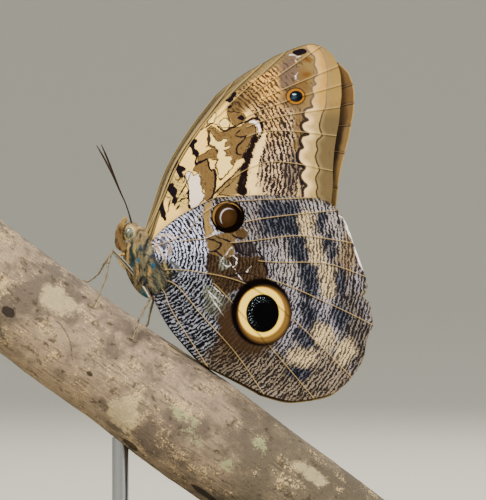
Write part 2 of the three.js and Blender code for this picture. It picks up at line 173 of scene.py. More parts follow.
def plane(points):
    """Pixels of the photograph as places in the wing's plane, from the hinge."""
    p = np.array(points, float)
    return (p - HINGE_PIXEL) * (MM_PER_PIXEL, -MM_PER_PIXEL)


def path_distance(places, path):
    """How far each place is from a path, and how far along the path the nearest point lies."""
    best = np.full(len(places), 1e9)
    where = np.zeros(len(places))
    for i, (a, b) in enumerate(zip(path, path[1:])):
        span = b - a
        share = np.clip((places - a) @ span / max(span @ span, 1e-12), 0, 1)
        gap = np.linalg.norm(places - a - share[:, None] * span, axis=1)
        nearer = gap < best
        best = np.where(nearer, gap, best)
        where = np.where(nearer, (i + share) / (len(path) - 1), where)
    return best, where


def outline_distance(places, corners):
    """Signed distance to a smooth closed outline of pixels: negative inside."""
    corners = plane(corners)
    loop = rounded(np.vstack([corners[-1], corners, corners[:2]]), 6)
    gap, _ = path_distance(places, loop)
    x, z = places.T
    inside = np.zeros(len(places), bool)
    for (ax, az), (bx, bz) in zip(loop, loop[1:]):
        if az == bz:
            continue
        crosses = (az > z) != (bz > z)
        inside ^= crosses & (x < (bx - ax) * (z - az) / (bz - az) + ax)
    return np.where(inside, -gap, gap)


def stroke_distance(places, pixels, width):
    """Signed distance to a stroke of that width in pixels: negative on it. It thins to its ends."""
    path = spline(plane(pixels), 8 * len(pixels))
    gap, where = path_distance(places, path)
    taper = 0.45 + 0.55 * np.sin(np.pi * where)
    return gap - 0.5 * width * MM_PER_PIXEL * taper


def ramp(values, start, end):
    """0 at start, 1 at end, smooth between."""
    t = np.clip((values - start) / (end - start), 0, 1)
    return t * t * (3 - 2 * t)


def blob(places, centre, size, turn=0):
    """A soft spot of pixels: 1 at its middle, 0 at its rim."""
    d = places - plane(centre)
    a = math.radians(turn)
    u = d[:, 0] * math.cos(a) + d[:, 1] * math.sin(a)
    v = -d[:, 0] * math.sin(a) + d[:, 1] * math.cos(a)
    r = np.hypot(u / (size[0] * MM_PER_PIXEL), v / (size[1] * MM_PER_PIXEL))
    return 1 - ramp(r, 0.55, 1.25)


def lattice_noise(places, scale, seed):
    """Smooth noise from -1 to 1 whose bumps are about `scale` across."""
    rng = np.random.default_rng(seed)
    size = 64
    table = rng.uniform(-1, 1, (size, size))
    q = places / scale
    cell = np.floor(q).astype(int)
    t = q - cell
    t = t * t * (3 - 2 * t)
    i, j = cell[:, 0] % size, cell[:, 1] % size
    i2, j2 = (i + 1) % size, (j + 1) % size
    low = table[i, j] * (1 - t[:, 0]) + table[i2, j] * t[:, 0]
    high = table[i, j2] * (1 - t[:, 0]) + table[i2, j2] * t[:, 0]
    return low * (1 - t[:, 1]) + high * t[:, 1]


# Shader maths


class Value:
    """A number that a shader works out, for use in sums."""

    def __init__(self, shader, socket):
        self.shader, self.socket = shader, socket

    def math(self, operation, *others):
        return self.shader.value("ShaderNodeMath", {"operation": operation}, [self, *others])

    def __add__(self, other):
        return self.math("ADD", other)

    __radd__ = __add__

    def __mul__(self, other):
        return self.math("MULTIPLY", other)

    __rmul__ = __mul__

    def __sub__(self, other):
        return self.math("SUBTRACT", other)

    def __rsub__(self, other):
        return self.shader.value("ShaderNodeMath", {"operation": "SUBTRACT"}, [other, self])

    def __truediv__(self, other):
        return self.math("DIVIDE", other)

    def __pow__(self, other):
        return self.math("POWER", other)

    def abs(self):
        return self.math("ABSOLUTE")

    def sin(self):
        return self.math("SINE")

    def ramp(self, start, end, low=0.0, high=1.0):
        """From low to high as the value goes from start to end, smooth between."""
        return self.shader.value("ShaderNodeMapRange", {"interpolation_type": "SMOOTHSTEP"},
                                 [self, start, end, low, high])


class Shader:
    """A material and the nodes in it."""

    def __init__(self, name, roughness, specular=0.1, **constants):
        self.material = bpy.data.materials.new(name)
        self.material.use_nodes = True
        self.tree = self.material.node_tree
        self.surface = self.tree.nodes["Principled BSDF"]
        constants.update(Roughness=roughness, Specular_IOR_Level=specular)
        for socket, amount in constants.items():
            self.surface.inputs[socket.replace("_", " ")].default_value = amount

    def node(self, kind, settings=None, inputs=()):
        """A node of that type. Its inputs are given by name or in order, as numbers, colours or links."""
        made = self.tree.nodes.new(kind)
        for key, setting in (settings or {}).items():
            setattr(made, key, setting)
        pairs = inputs.items() if isinstance(inputs, dict) else enumerate(inputs)
        for key, given in pairs:
            if given is None:
                continue
            if isinstance(given, Value):
                given = given.socket
            if isinstance(given, bpy.types.NodeSocket):
                self.tree.links.new(given, made.inputs[key])
            elif isinstance(given, tuple) and len(given) == 3 and made.inputs[key].type == "RGBA":
                made.inputs[key].default_value = (*given, 1)
            else:
                made.inputs[key].default_value = given
        return made

    def value(self, kind, settings=None, inputs=(), output=0):
        return Value(self, self.node(kind, settings, inputs).outputs[output])

    def mix(self, first, second, share):
        """The first colour, going over to the second one by the share."""
        made = self.node("ShaderNodeMix", {"data_type": "RGBA"}, {0: share, 6: first, 7: second})
        return made.outputs[2]

    def vector(self, operation, first, second):
        return self.node("ShaderNodeVectorMath", {"operation": operation}, [first, second]).outputs[0]

    def tint(self, colour, factor):
        """A colour made lighter or darker by a factor that may vary."""
        grey = self.node("ShaderNodeCombineXYZ", None, [factor, factor, factor]).outputs[0]
        return self.vector("MULTIPLY", colour, grey)

    def attribute(self, name):
        return Value(self, self.node("ShaderNodeAttribute", {"attribute_name": name}).outputs["Fac"])

    def paint(self, name):
        return self.node("ShaderNodeAttribute", {"attribute_name": name}).outputs["Color"]

    def millimetres(self):
        """The place on the piece, in millimetres."""
        return self.stretch(self.node("ShaderNodeTexCoord").outputs["Object"], (1 / MM, 1 / MM, 1 / MM))

    def uv(self, name):
        return self.node("ShaderNodeUVMap", {"uv_map": name}).outputs[0]

    def split(self, vector):
        """A vector's three numbers."""
        made = self.node("ShaderNodeSeparateXYZ", None, [vector])
        return [Value(self, made.outputs[i]) for i in range(3)]

    def stretch(self, vector, scale, turn=(0, 0, 0)):
        """A vector scaled and turned, to set the grain of a pattern."""
        made = self.node("ShaderNodeMapping", {}, {"Vector": vector, "Scale": scale, "Rotation": turn})
        return made.outputs[0]

    def noise(self, vector, scale, detail=2.0, roughness=0.5):
        """Noise about 0.5, with `scale` bumps in each unit."""
        return self.value("ShaderNodeTexNoise", {},
                          {"Vector": vector, "Scale": scale, "Detail": detail, "Roughness": roughness})

    def cells(self, vector, scale, randomness=1.0):
        """Distance to the nearest of scattered points."""
        return self.value("ShaderNodeTexVoronoi", {},
                          {"Vector": vector, "Scale": scale, "Randomness": randomness})

    def bump(self, height, depth, strength=1.0, under=None):
        """Fine relief, in metres, over the one under it."""
        inputs = {"Strength": strength, "Distance": depth, "Height": height, "Normal": under}
        return self.node("ShaderNodeBump", {}, inputs).outputs[0]

    def finish(self, colour, normal=None):
        """Sets the surface's colour and relief, and gives the finished material."""
        if isinstance(colour, tuple):
            self.surface.inputs["Base Color"].default_value = (*colour, 1)
        else:
            self.tree.links.new(colour, self.surface.inputs["Base Color"])
        if normal is not None:
            self.tree.links.new(normal, self.surface.inputs["Normal"])
        return self.material


# Meshes


def active():
    return bpy.context.view_layer.objects.active


def only(*objects):
    """Selects these objects alone, the first one active."""
    bpy.ops.object.select_all(action="DESELECT")
    for o in objects:
        o.select_set(True)
    bpy.context.view_layer.objects.active = objects[0]


def link(name, data):
    """A new object that shows the data, in the scene."""
    o = bpy.data.objects.new(name, data)
    bpy.context.scene.collection.objects.link(o)
    return o


def new_mesh(name, points, faces):
    """A new object with these points, in metres, and these faces."""
    mesh = bpy.data.meshes.new(name)
    mesh.from_pydata(points, [], faces)
    return link(name, mesh)


def tube_faces(rings, sides):
    """The four-cornered faces between the rings of a tube."""
    i, j = np.meshgrid(np.arange(rings - 1), np.arange(sides), indexing="ij")
    k = (j + 1) % sides
    corners = [i * sides + j, i * sides + k, (i + 1) * sides + k, (i + 1) * sides + j]
    return np.stack(corners, -1).reshape(-1, 4).tolist()


def place_points(o, points):
    """Sets an object's points, in millimetres."""
    o.data.vertices.foreach_set("co", (np.asarray(points, np.float32) * MM).ravel())
    o.data.update()


def points_of(o):
    """An object's points, in millimetres."""
    co = np.empty(len(o.data.vertices) * 3, np.float32)
    o.data.vertices.foreach_get("co", co)
    return co.reshape(-1, 3).astype(float) / MM


def join(pieces):
    """One object from several, in the first one's place."""
    only(*pieces)
    bpy.ops.object.join()
    return active()


def apply_modifier(o, kind, **settings):
    only(o)
    modifier = o.modifiers.new(kind.title(), kind)
    for key, setting in settings.items():
        setattr(modifier, key, setting)
    bpy.ops.object.modifier_apply(modifier=modifier.name)


def freeze(o):
    """Puts an object's place and turn into its mesh."""
    only(o)
    bpy.ops.object.transform_apply(location=True, rotation=True, scale=True)


def smooth_shade(o, angle=180):
    only(o)
    bpy.ops.object.shade_smooth_by_angle(angle=math.radians(angle))


def edit_all(o, operator, **settings):
    """Runs an edit-mode operator on the whole of a mesh."""
    only(o)
    bpy.ops.object.mode_set(mode="EDIT")
    bpy.ops.mesh.select_all(action="SELECT")
    operator(**settings)
    bpy.ops.object.mode_set(mode="OBJECT")


def outward(o):
    """Turns all faces outward."""
    edit_all(o, bpy.ops.mesh.normals_make_consistent, inside=False)


def set_number(o, name, values):
    layer = o.data.attributes.new(name, "FLOAT", "POINT")
    layer.data.foreach_set("value", np.asarray(values, np.float32))


def set_colour(o, name, colours):
    layer = o.data.attributes.new(name, "FLOAT_COLOR", "POINT")
    full = np.hstack([colours, np.ones((len(colours), 1))]).astype(np.float32)
    layer.data.foreach_set("color", full.ravel())


def set_uv(o, name, places):
    """A UV map from one place for each point."""
    layer = o.data.uv_layers.get(name) or o.data.uv_layers.new(name=name)
    corners = np.empty(len(o.data.loops), np.int32)
    o.data.loops.foreach_get("vertex_index", corners)
    layer.data.foreach_set("uv", np.asarray(places, np.float32)[corners].ravel())


def settle(o, name, materials, replaced=()):
    """Names a finished piece, gives it its materials and sets it on the frame."""
    o.name = name
    o.data.name = name
    for material in materials if isinstance(materials, list) else [materials]:
        o.data.materials.append(material)
    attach(o, "root")
    if replaced:
        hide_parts(*replaced)
    return o


# Places on the body and the branch


def from_hinge(x, z, y=0.0):
    return np.array([HINGE[0] + x, y, HINGE[1] + z])


def on_thorax(along, dorsal):
    """A place in the plane of symmetry, along the thorax to the tail and out to its back."""
    a = math.radians(THORAX["tilt"])
    x, z = THORAX["centre"]
    return np.array([x + along * math.cos(a) + dorsal * math.sin(a),
                     z - along * math.sin(a) + dorsal * math.cos(a)])


SLOPE = math.radians(BRANCH["slope"])
BRANCH_AXIS = np.array([math.cos(SLOPE), 0, -math.sin(SLOPE)])
BRANCH_UP = np.array([math.sin(SLOPE), 0, math.cos(SLOPE)])
BRANCH_MIDDLE = np.array([BRANCH["middle"][0], 0, BRANCH["middle"][1]])


def branch_radius(s):
    return BRANCH["radius"] + 0.35 * np.sin(s / 17 + 0.6) + 0.2 * np.sin(s / 7.3)


def on_branch(s, degrees, lift=0.0):
    """A point on the branch: along it, degrees round from its top, and off its bark."""
    a = np.radians(degrees)
    r = branch_radius(s) + lift
    up, side = np.cos(a) * r, np.sin(a) * r
    axis = BRANCH_MIDDLE + np.multiply.outer(s, BRANCH_AXIS)
    return axis + np.multiply.outer(up, BRANCH_UP) + np.multiply.outer(side, np.array([0, 1.0, 0]))


# Wings


def wing_grid(wing):
    """A wing's points in its own plane, in columns along its veins, with each column's place in its cell."""
    veins, margin = wing["veins"], wing["margin"]
    last = len(veins) - 1
    spines = []
    for i, vein in enumerate(veins):
        along, dorsal = (np.interp(i / last, (0, 1), wing[ends]) for ends in ("root_along", "root_dorsal"))
        spines.append(spline([on_thorax(along, dorsal), *vein], WING_ROWS))
    rows = np.linspace(0, 1, WING_ROWS)[:, None]
    columns, between = [], []
    leading = 0
    for k in range(last):
        stops = [spines[k][-1], *np.array(margin[k], float).reshape(-1, 2), spines[k + 1][-1]]
        rim = spline(stops, 40)
        count = max(6, round(np.linalg.norm(np.diff(rim, axis=0), axis=1).sum() / COLUMN_SPACING))
        rim = resample(rim, count + 1)
        for j in range(count):
            f = j / count
            straight = spines[k] * (1 - f) + spines[k + 1] * f
            columns.append(straight + (rim[j] - straight[-1]) * rows**4)
            between.append(f)
        if k < wing["leading_cells"]:
            leading = len(columns)
    columns.append(spines[last])
    between.append(0)
    return np.array(columns), np.array(between), spines, leading


def sheet_side(layer, places, from_root):
    """How far out a wing's sheet lies: it bulges round the body and closes further off."""
    front, rear = on_thorax(-THORAX["semi"][0], 0), on_thorax(THORAX["semi"][0] * 0.8, 0)
    to_body, _ = path_distance(places, np.array([front, rear, ABDOMEN["end"]]))
    open_ = layer["near"] + (layer["far"] - layer["near"]) * ramp(to_body, *BODY_REACH)
    return layer["root"] + (open_ - layer["root"]) * ramp(from_root, 0, ROOT_RISE)


def wing_fields(wing):
    """The plane of a wing: its points, and distances to its veins and rim."""
    columns, between, spines, leading = wing_grid(wing)
    places = columns.reshape(-1, 2)
    vein = np.full(len(places), 9.0)
    for spine, start in zip(spines, wing["ridge_from"]):
        if start < 1:
            kept = spine[int(start * (WING_ROWS - 1)):]
            vein = np.minimum(vein, path_distance(places, resample(kept, 40))[0])
    lead_line = np.vstack([spines[0], columns[1:leading, -1]])
    rim_line = np.vstack([columns[::4, -1], columns[-1:, -1]])
    return {
        "columns": columns,
        "places": places,
        "cell": np.repeat(np.abs(2 * between - 1), WING_ROWS),
        "vein": vein,
        "rim": path_distance(places, rim_line)[0],
        "lead": path_distance(places, resample(lead_line, 90))[0],
    }


# Forewing markings, by their pixels

FORE_CREAM = [
    [(210, 130.6), (208.8, 135), (210.6, 139.4), (209.8, 145), (215, 146.3), (217.5, 151.3), (216.3, 156.3),
     (218.1, 160), (215.6, 165), (218.1, 170), (218.8, 178.1), (221.9, 178.8), (226.3, 174.4), (231.3, 170),
     (233.1, 166.3), (230, 162.5), (233.1, 159.4), (230, 156.3), (225, 155.6), (226.3, 152.5), (223.8, 150),
     (229, 149.5), (230, 147), (225, 146.3), (225, 142.5), (227.5, 140), (223.8, 138.1), (221.3, 141.3),
     (218.1, 141.3), (215.6, 138.1), (212.5, 133.8)],
    [(206.3, 123.8), (210, 117.5), (215, 112.5), (215.6, 117.5), (213.8, 122.5), (208.8, 123.8)],
    [(218.1, 123.8), (222.5, 119.4), (227.5, 119.4), (230, 123.8), (228.8, 127.5), (222.5, 128.1)],
]
FORE_OCHRE = [
    [(208.8, 127.5), (214, 127), (221, 132.5), (230, 129.5), (238, 127), (246, 123), (252, 120), (255, 127),
     (255.5, 133), (250, 142), (246, 149), (243, 157), (238, 160), (234, 164), (232, 169), (226, 175),
     (222, 179.5), (219, 180), (218, 172), (215, 165), (217, 158), (216, 149), (209, 146), (208, 137)],
    [(198.1, 157.5), (203.8, 153.8), (208.8, 150), (216.3, 148.8), (216.3, 153.8), (216.3, 160),
     (210, 158.8), (206.3, 160), (198.1, 161.9)],
    [(193.8, 168.8), (197.5, 163.8), (207.5, 161.3), (208.8, 166.3), (211.3, 171.3), (215, 172.5),
     (215.6, 180), (215, 190), (212.5, 196.3), (208, 201), (204.4, 197), (205, 192.5), (201.9, 185),
     (201.3, 177.5), (196.3, 171.3), (192.5, 170)],
    [(228, 112), (234, 112), (241, 113), (246, 118), (240, 123), (234, 125), (230, 121)],
]
FORE_WHITE = [
    [(186.3, 172.5), (191.3, 171.9), (193.1, 175), (198.8, 173.8), (200, 177.5), (201.3, 180),
     (200.6, 183.8), (202.5, 187.5), (201.9, 191.3), (204.4, 195), (203.8, 198.8), (200, 203.8),
     (196.3, 207.5), (191.3, 208.8), (188.8, 205), (190, 200), (187.5, 195), (188.8, 190), (187.5, 185),
     (186.3, 180), (185, 176.3)],
]
FORE_TAN = [
    [(215.6, 191.3), (220, 186.3), (230, 177.5), (240, 166.3), (240, 175), (236.9, 185), (237, 194),
     (227.5, 194.8), (217, 194)],
]
FORE_BAR = [
    [(255, 133.8), (258.1, 138.8), (253.8, 148.8), (251, 160), (246.3, 162.5), (241.9, 157.5), (245, 152.5),
     (248.8, 145), (251.3, 138.8)],
    [(243.1, 162.5), (250, 161.3), (250, 166.3), (247.5, 175), (246.3, 185), (246.9, 195), (240, 195),
     (236.3, 192.5), (237.5, 183.8), (240, 176.3), (240.6, 168.8)],
]
FORE_BAND = [
    [(263, 131), (267, 134), (264, 145), (260, 158), (257, 170), (256, 182), (257, 196), (247, 196),
     (247, 184), (249, 173), (252, 161), (255, 150), (259, 139)],
]
FORE_BLACK = [
    [(188.8, 142.5), (192.5, 140), (196.9, 139.4), (197.5, 142.5), (195, 145), (195, 148.8), (199.4, 152.5),
     (198.8, 156.3), (196.3, 157.5), (193.8, 155), (191.3, 155), (191.9, 150), (190, 146.3)],
    [(176.9, 161.3), (180.6, 165), (183.8, 167.5), (185.6, 170), (181.3, 172.5), (183.8, 177.5),
     (178.8, 176.3), (176.3, 171.3), (175.6, 166.3)],
    [(168.8, 183.8), (173.8, 182.5), (175, 187.5), (176.9, 190), (176.3, 195), (176.9, 200), (175, 206.3),
     (172.5, 202.5), (173.1, 197.5), (168.8, 192.5), (167.5, 187.5)],
    [(161.9, 200), (163.8, 205), (165, 211.3), (166.3, 220), (163.8, 221.3), (161.3, 215), (159.4, 208.8)],
    [(225, 101), (229, 97), (235, 92), (237, 93), (234, 98), (233, 103), (229, 103)],
    [(237, 118), (241, 115), (245, 118), (241, 120.5)],
    [(228, 106), (232, 106.5), (232, 108.5), (228, 109)],
    [(188, 205), (191, 206), (191, 209), (188, 208.5)],
]
FORE_APEX = [
    [(291.9, 52.5), (296.3, 50), (303.8, 48.8), (306.9, 51.9), (305, 53.8), (297.5, 55.6)],
]
# Each stroke is its pixels and its width in them.
FORE_STROKES = [
    ([(197, 156), (195.8, 163.5), (199, 163), (207, 159.5), (208.5, 160.5)], 2.6),
    ([(208, 160), (208.5, 166), (210.5, 170), (214.5, 170.5), (215.8, 176), (215.3, 185), (214, 192),
      (212, 200)], 2.4),
    ([(246.9, 135.6), (241.3, 142.5), (236.3, 148.8), (237.5, 153.8), (242.5, 155)], 2),
    ([(235, 135), (240, 137.5), (246.9, 135.6)], 1.6),
    ([(236, 134), (239.5, 131), (241, 129.5)], 1.3),
    ([(200, 130), (205.6, 127.5), (211.3, 123.8), (216.3, 125), (220, 128.8), (225, 131.3), (230, 128.1),
      (237.5, 125.6), (245, 121.9), (250, 119)], 1.9),
    ([(205.6, 127.5), (207.5, 132.5), (210, 138.8), (208.8, 143.8), (206.3, 147.5)], 1.7),
    ([(245, 122.5), (253.8, 118.1), (260, 121.3), (262.5, 130), (260, 137.5), (256.3, 142.5)], 2.4),
    ([(250, 124.5), (255, 127), (256, 131), (254, 135)], 1.4),
    ([(176.9, 160.6), (172.5, 170), (170, 177.5), (168.8, 183.8)], 1.6),
    ([(176.9, 200), (181.3, 192.5), (185.6, 185), (191.3, 172.5)], 1.5),
    ([(185.6, 195), (187.5, 192.5), (188.8, 196.3), (186.3, 198.1), (185.6, 195)], 1.4),
    ([(186, 186), (188.5, 191), (188.5, 198), (187.5, 204)], 1.5),
    ([(177.5, 202.5), (182.5, 199.4), (186.3, 197.5)], 1.8),
    ([(180, 205), (176.3, 210)], 2),
    ([(170.6, 197.5), (168.8, 206.3), (167.5, 212.5)], 1.3),
    ([(174, 176), (177, 180), (181, 179), (184, 183)], 1.3),
    ([(181, 171), (184, 175), (185, 180), (182, 184)], 1.2),
    ([(203, 206), (215, 193), (230, 178.5), (243, 165.5), (250, 157)], 1.5),
    ([(209, 205), (220, 193.5), (233, 181), (242, 171.5)], 1),
    ([(216, 194.6), (228, 195.4), (240, 196)], 1.3),
]
FORE_WHITE_STROKES = [
    ([(249, 122.5), (254, 122), (258, 125), (259.6, 130), (258.6, 134)], 3),
    ([(295, 58.6), (295.4, 61), (297, 63)], 1.3),
    ([(298, 72), (295.6, 76), (296, 79), (298.2, 81)], 1.5),
    ([(288, 55.2), (292, 54.6), (297, 56.6), (301, 56)], 1.2),
]
FORE_ORANGE = [((308, 60), (5, 2.8)), ((307, 75), (5.5, 2.8))]
FORE_EYESPOT = {"pupil": ((296, 96.5), (6.6, 5.6)), "ring": ((295.6, 96.5), (8.9, 7.8)),
                "edge": ((295.6, 96.5), (9.9, 8.7)), "halo": ((291, 99), (14, 13)),
                "shine": ((294, 98), (3.4, 3.2)), "glint": ((294.2, 94.6), (2.2, 0.8))}
FORE_INNER_LINE = [
    (306.9, 49.4), (311.3, 53.8), (314.4, 56.9), (315, 60.6), (314.4, 65), (316.3, 68.8), (317.5, 75),
    (314.4, 77.5), (314.4, 81.3), (316.3, 84.4), (312.5, 86.9), (312.5, 91.3), (313.8, 96.3), (311.3, 100),
    (311.3, 103.8), (312.5, 107.5), (306.3, 109.4), (303.8, 113.8), (305, 117.5), (308.1, 120),
    (303.1, 122.5), (301.3, 126.3), (303.8, 131.3), (308.8, 134.4), (302.5, 136.3), (300.6, 141.3),
    (303.1, 147.5), (299.4, 150), (298.1, 157.5), (300, 162.5), (305, 167.5), (301.3, 172.5),
    (300.6, 177.5), (303.8, 182.5), (306.9, 185.6), (303.8, 188.8), (303.1, 194.4), (305, 232),
]
FORE_OUTER_LINE = [
    (315, 45), (317.5, 47.5), (321.9, 52.5), (324.4, 57.5), (326.3, 65), (327.5, 76.3), (326.9, 85),
    (326.3, 96.3), (325.6, 106.3), (323.8, 110), (321.9, 115), (320.6, 120), (319.4, 125), (320, 130),
    (321.9, 135.6), (317.5, 140), (316.3, 143.8), (317.5, 150), (315.6, 155), (316.3, 161.3),
    (319.4, 169.4), (317.5, 173.8), (315.6, 178.8), (317.5, 187.5), (316.3, 191.3), (317.5, 197.5),
    (322.5, 203.8), (322, 232),
]
FORE_NAVY = [((299, 158), (3.5, 6)), ((302, 180), (3, 6)), ((304, 191), (3, 5)), ((301, 143), (2.5, 4))]

# A patch of ground is its middle and half size in pixels, its turn, its light and dark scales
# and how much of it is dark, from -1 for none to 1 for all.
FORE_GROUND = [
    ((200, 150), (260, 260), 0, (226, 211, 180), (150, 130, 110), -1),
    ((300, 110), (34, 100), 0, (178, 150, 106), (134, 106, 70), -0.4),
    ((256, 72), (46, 22), 36, (186, 162, 122), (104, 82, 58), -0.2),
    ((279, 158), (30, 62), 0, (214, 200, 188), (58, 44, 44), 0.16),
    ((267, 112), (22, 34), 10, (216, 196, 170), (72, 54, 48), 0.1),
    ((264, 82), (20, 26), 30, (222, 196, 154), (112, 86, 62), 0),
    ((247, 96), (15, 13), 40, (188, 156, 110), (92, 68, 52), 0.02),
    ((236, 108), (12, 9), 30, (158, 124, 79), (98, 68, 44), -0.1),
    ((300, 130), (7, 26), 0, (168, 137, 98), (112, 84, 50), -0.25),
    ((292, 172), (9, 26), 0, (176, 158, 140), (62, 48, 52), 0.16),
    ((289, 73), (13, 20), 8, (157, 130, 111), (118, 92, 76), -0.25),
    ((302, 84), (8, 16), 0, (164, 128, 80), (128, 94, 56), -0.4),
    ((216, 102), (26, 8), 50, (208, 186, 148), (142, 120, 90), -0.5),
    ((240, 208), (60, 12), 0, (206, 188, 156), (104, 84, 66), -0.35),
    ((174, 190), (11, 26), 22, (214, 198, 162), (84, 64, 64), -0.3),
    ((196, 152), (12, 14), 30, (228, 214, 182), (130, 108, 90), -0.7),
]

# Hindwing markings, by their pixels

HIND_OCELLUS = {"pupil": ((262.5, 313.2), (16.6, 19.2)), "yellow": ((261.5, 312), (23, 25)),
                "brown": ((263.8, 314.3), (27.4, 29.8)), "black": ((261.3, 312), (30.4, 34)),
                "halo": ((252, 318), (33, 36))}
HIND_SMALL = {"pupil": ((226.2, 216), (10.8, 11.8)), "black": ((228, 216.8), (16.8, 16.4)),
              "tan": ((227.2, 215.8), (14.6, 14)), "shade": ((228.6, 218), (14, 14)),
              "glint": ((228.2, 217.4), (8.2, 9.2)), "glint_bite": ((229.6, 218.4), (8.5, 9.2))}
HIND_TAN = [
    [(204, 207), (209, 202), (213, 200), (211, 207), (210, 216), (211, 226), (214, 232), (207, 237),
     (204, 234), (203, 225), (203, 215)],
    [(206.5, 238), (213, 235.5), (220, 234), (226, 232.5), (232, 231), (238, 229), (236, 238), (236, 243),
     (234, 248), (234, 254), (228, 257), (222, 257), (214, 255), (209, 252), (207, 246)],
]
HIND_RUST = [
    [(236, 231), (241, 228), (246, 228), (249, 234), (246, 239), (241, 241), (237, 238)],
]
HIND_GREY = [
    [(236, 243), (244, 241), (252, 241), (256, 246), (257, 253), (250, 257), (240, 254), (235, 250)],
]
HIND_BROWN = [
    [(209, 252), (216, 254), (224, 257), (236, 254), (248, 257), (258, 255), (265, 262), (268, 272),
     (266, 282), (257, 286), (246, 288), (238, 290), (230, 293), (222, 294), (214, 285), (208, 272),
     (206, 262)],
]
HIND_SCARS = [
    [(219, 259), (223, 257), (227, 261), (229, 267), (225, 270), (220, 268)],
    [(203, 290), (208, 286), (216, 292), (222, 300), (226, 308), (222, 312), (214, 306), (206, 300)],
]
HIND_NAVY = [
    [(262, 204), (280, 202), (298, 203), (300, 222), (298, 234), (286, 236), (272, 237), (262, 232)],
    [(286, 238), (299, 237), (309, 239), (309, 257), (300, 262), (290, 258)],
    [(300, 263), (317, 263), (319, 280), (317, 297), (308, 301), (301, 285)],
    [(317, 214), (324, 213), (325, 222), (322, 233), (316, 233)],
    [(324, 238), (332, 238), (335, 252), (332, 262), (326, 256)],
    [(334, 266), (343, 267), (345, 285), (342, 298), (336, 290)],
    [(300, 302), (312, 303), (320, 318), (314, 332), (303, 324)],
    [(330, 304), (342, 304), (350, 318), (342, 330), (333, 320)],
    [(292, 330), (304, 328), (316, 342), (308, 350), (296, 342)],
    [(288, 368), (302, 366), (312, 374), (302, 380), (290, 376)],
]
HIND_CREAM = [
    [(300, 214), (315, 214), (316, 225), (314, 234), (301, 234)],
    [(309, 238), (323, 239), (324, 252), (321, 261), (311, 261)],
    [(320, 265), (332, 266), (334, 282), (332, 297), (322, 296)],
    [(318, 322), (332, 330), (336, 347), (322, 347), (312, 334)],
    [(290, 352), (304, 348), (318, 356), (308, 366), (292, 362)],
    [(336, 346), (350, 338), (356, 352), (344, 364), (332, 360)],
]
HIND_STROKES = [
    ([(204, 214), (203.2, 225), (206.6, 236)], 1.8),
    ([(207, 238), (216, 241), (221.5, 245), (215, 251), (208, 251)], 1.9),
    ([(216, 236.5), (225, 240), (234, 244), (237, 250), (243, 254), (252, 256)], 1.9),
    ([(230, 233), (235, 237), (240, 238.5), (246, 239)], 1.7),
    ([(212, 251), (218, 253), (224, 257)], 1.7),
    ([(213, 252), (210, 260), (206, 266)], 1.6),
    ([(256, 250), (263, 258), (266, 268), (267.5, 279)], 2.4),
    ([(224, 278), (234, 275), (244, 273), (254, 275)], 1.6),
    ([(228, 285), (240, 281), (252, 283)], 1.8),
]
HIND_WHITE_STROKES = [
    ([(206, 237.6), (213, 235), (220, 231.4), (228, 228), (236, 225.4)], 1),
    ([(338.9, 214.4), (344.4, 221.1), (347.8, 231.1), (354.4, 243.3), (356.7, 254.4), (361.1, 265.6),
      (366.7, 275.6), (367.8, 287.8)], 2.4),
    ([(232, 247), (228, 252), (223, 258), (221, 262)], 1.2),
    ([(230, 256), (234, 256), (237, 261), (234, 267)], 1),
    ([(222, 262), (226, 266), (231, 265), (229, 260)], 0.9),
    ([(232, 266), (236, 272), (241, 279), (244, 282)], 0.8),
    ([(251, 266), (248, 270), (245, 275)], 0.8),
    ([(244, 228), (248.6, 233.5), (246, 238), (241, 241)], 0.8),
    ([(206, 290), (214, 296), (222, 305)], 0.9),
    ([(211, 285), (218, 291), (226, 297)], 0.9),
    ([(209, 294), (213, 301), (216, 306)], 0.7),
    ([(215, 303), (220, 310), (224, 318)], 0.8),
]
HIND_GROUND = [
    ((240, 280), (320, 320), 0, (182, 178, 181), (46, 42, 50), 0.04),
    ((180, 250), (44, 44), 0, (216, 216, 222), (34, 35, 41), 0.1),
    ((185, 322), (50, 66), -20, (178, 178, 184), (18, 19, 23), 0.16),
    ((276, 222), (40, 26), 0, (178, 170, 168), (42, 40, 52), 0.08),
    ((240, 366), (60, 24), 8, (164, 152, 140), (46, 36, 32), 0.12),
    ((238, 350), (30, 20), 0, (140, 116, 92), (58, 38, 28), 0.2),
    ((318, 250), (44, 60), -20, (196, 190, 188), (50, 47, 58), 0.02),
    ((310, 322), (40, 44), 0, (188, 184, 188), (52, 48, 58), 0.02),
    ((350, 250), (13, 50), -22, (182, 164, 146), (82, 64, 50), 0.06),
    ((356, 330), (16, 50), 12, (162, 152, 146), (44, 38, 38), 0.14),
    ((300, 384), (80, 22), -14, (176, 162, 148), (50, 40, 40), 0.1),
    ((326, 366), (40, 18), -36, (184, 170, 158), (58, 50, 54), 0.06),
    ((226, 322), (9, 28), -8, (104, 74, 50), (52, 30, 20), 0.1),
    ((218, 300), (14, 18), -30, (150, 148, 136), (60, 58, 52), 0.05),
    ((160, 278), (15, 20), -20, (128, 126, 112), (36, 37, 38), 0.3),
]
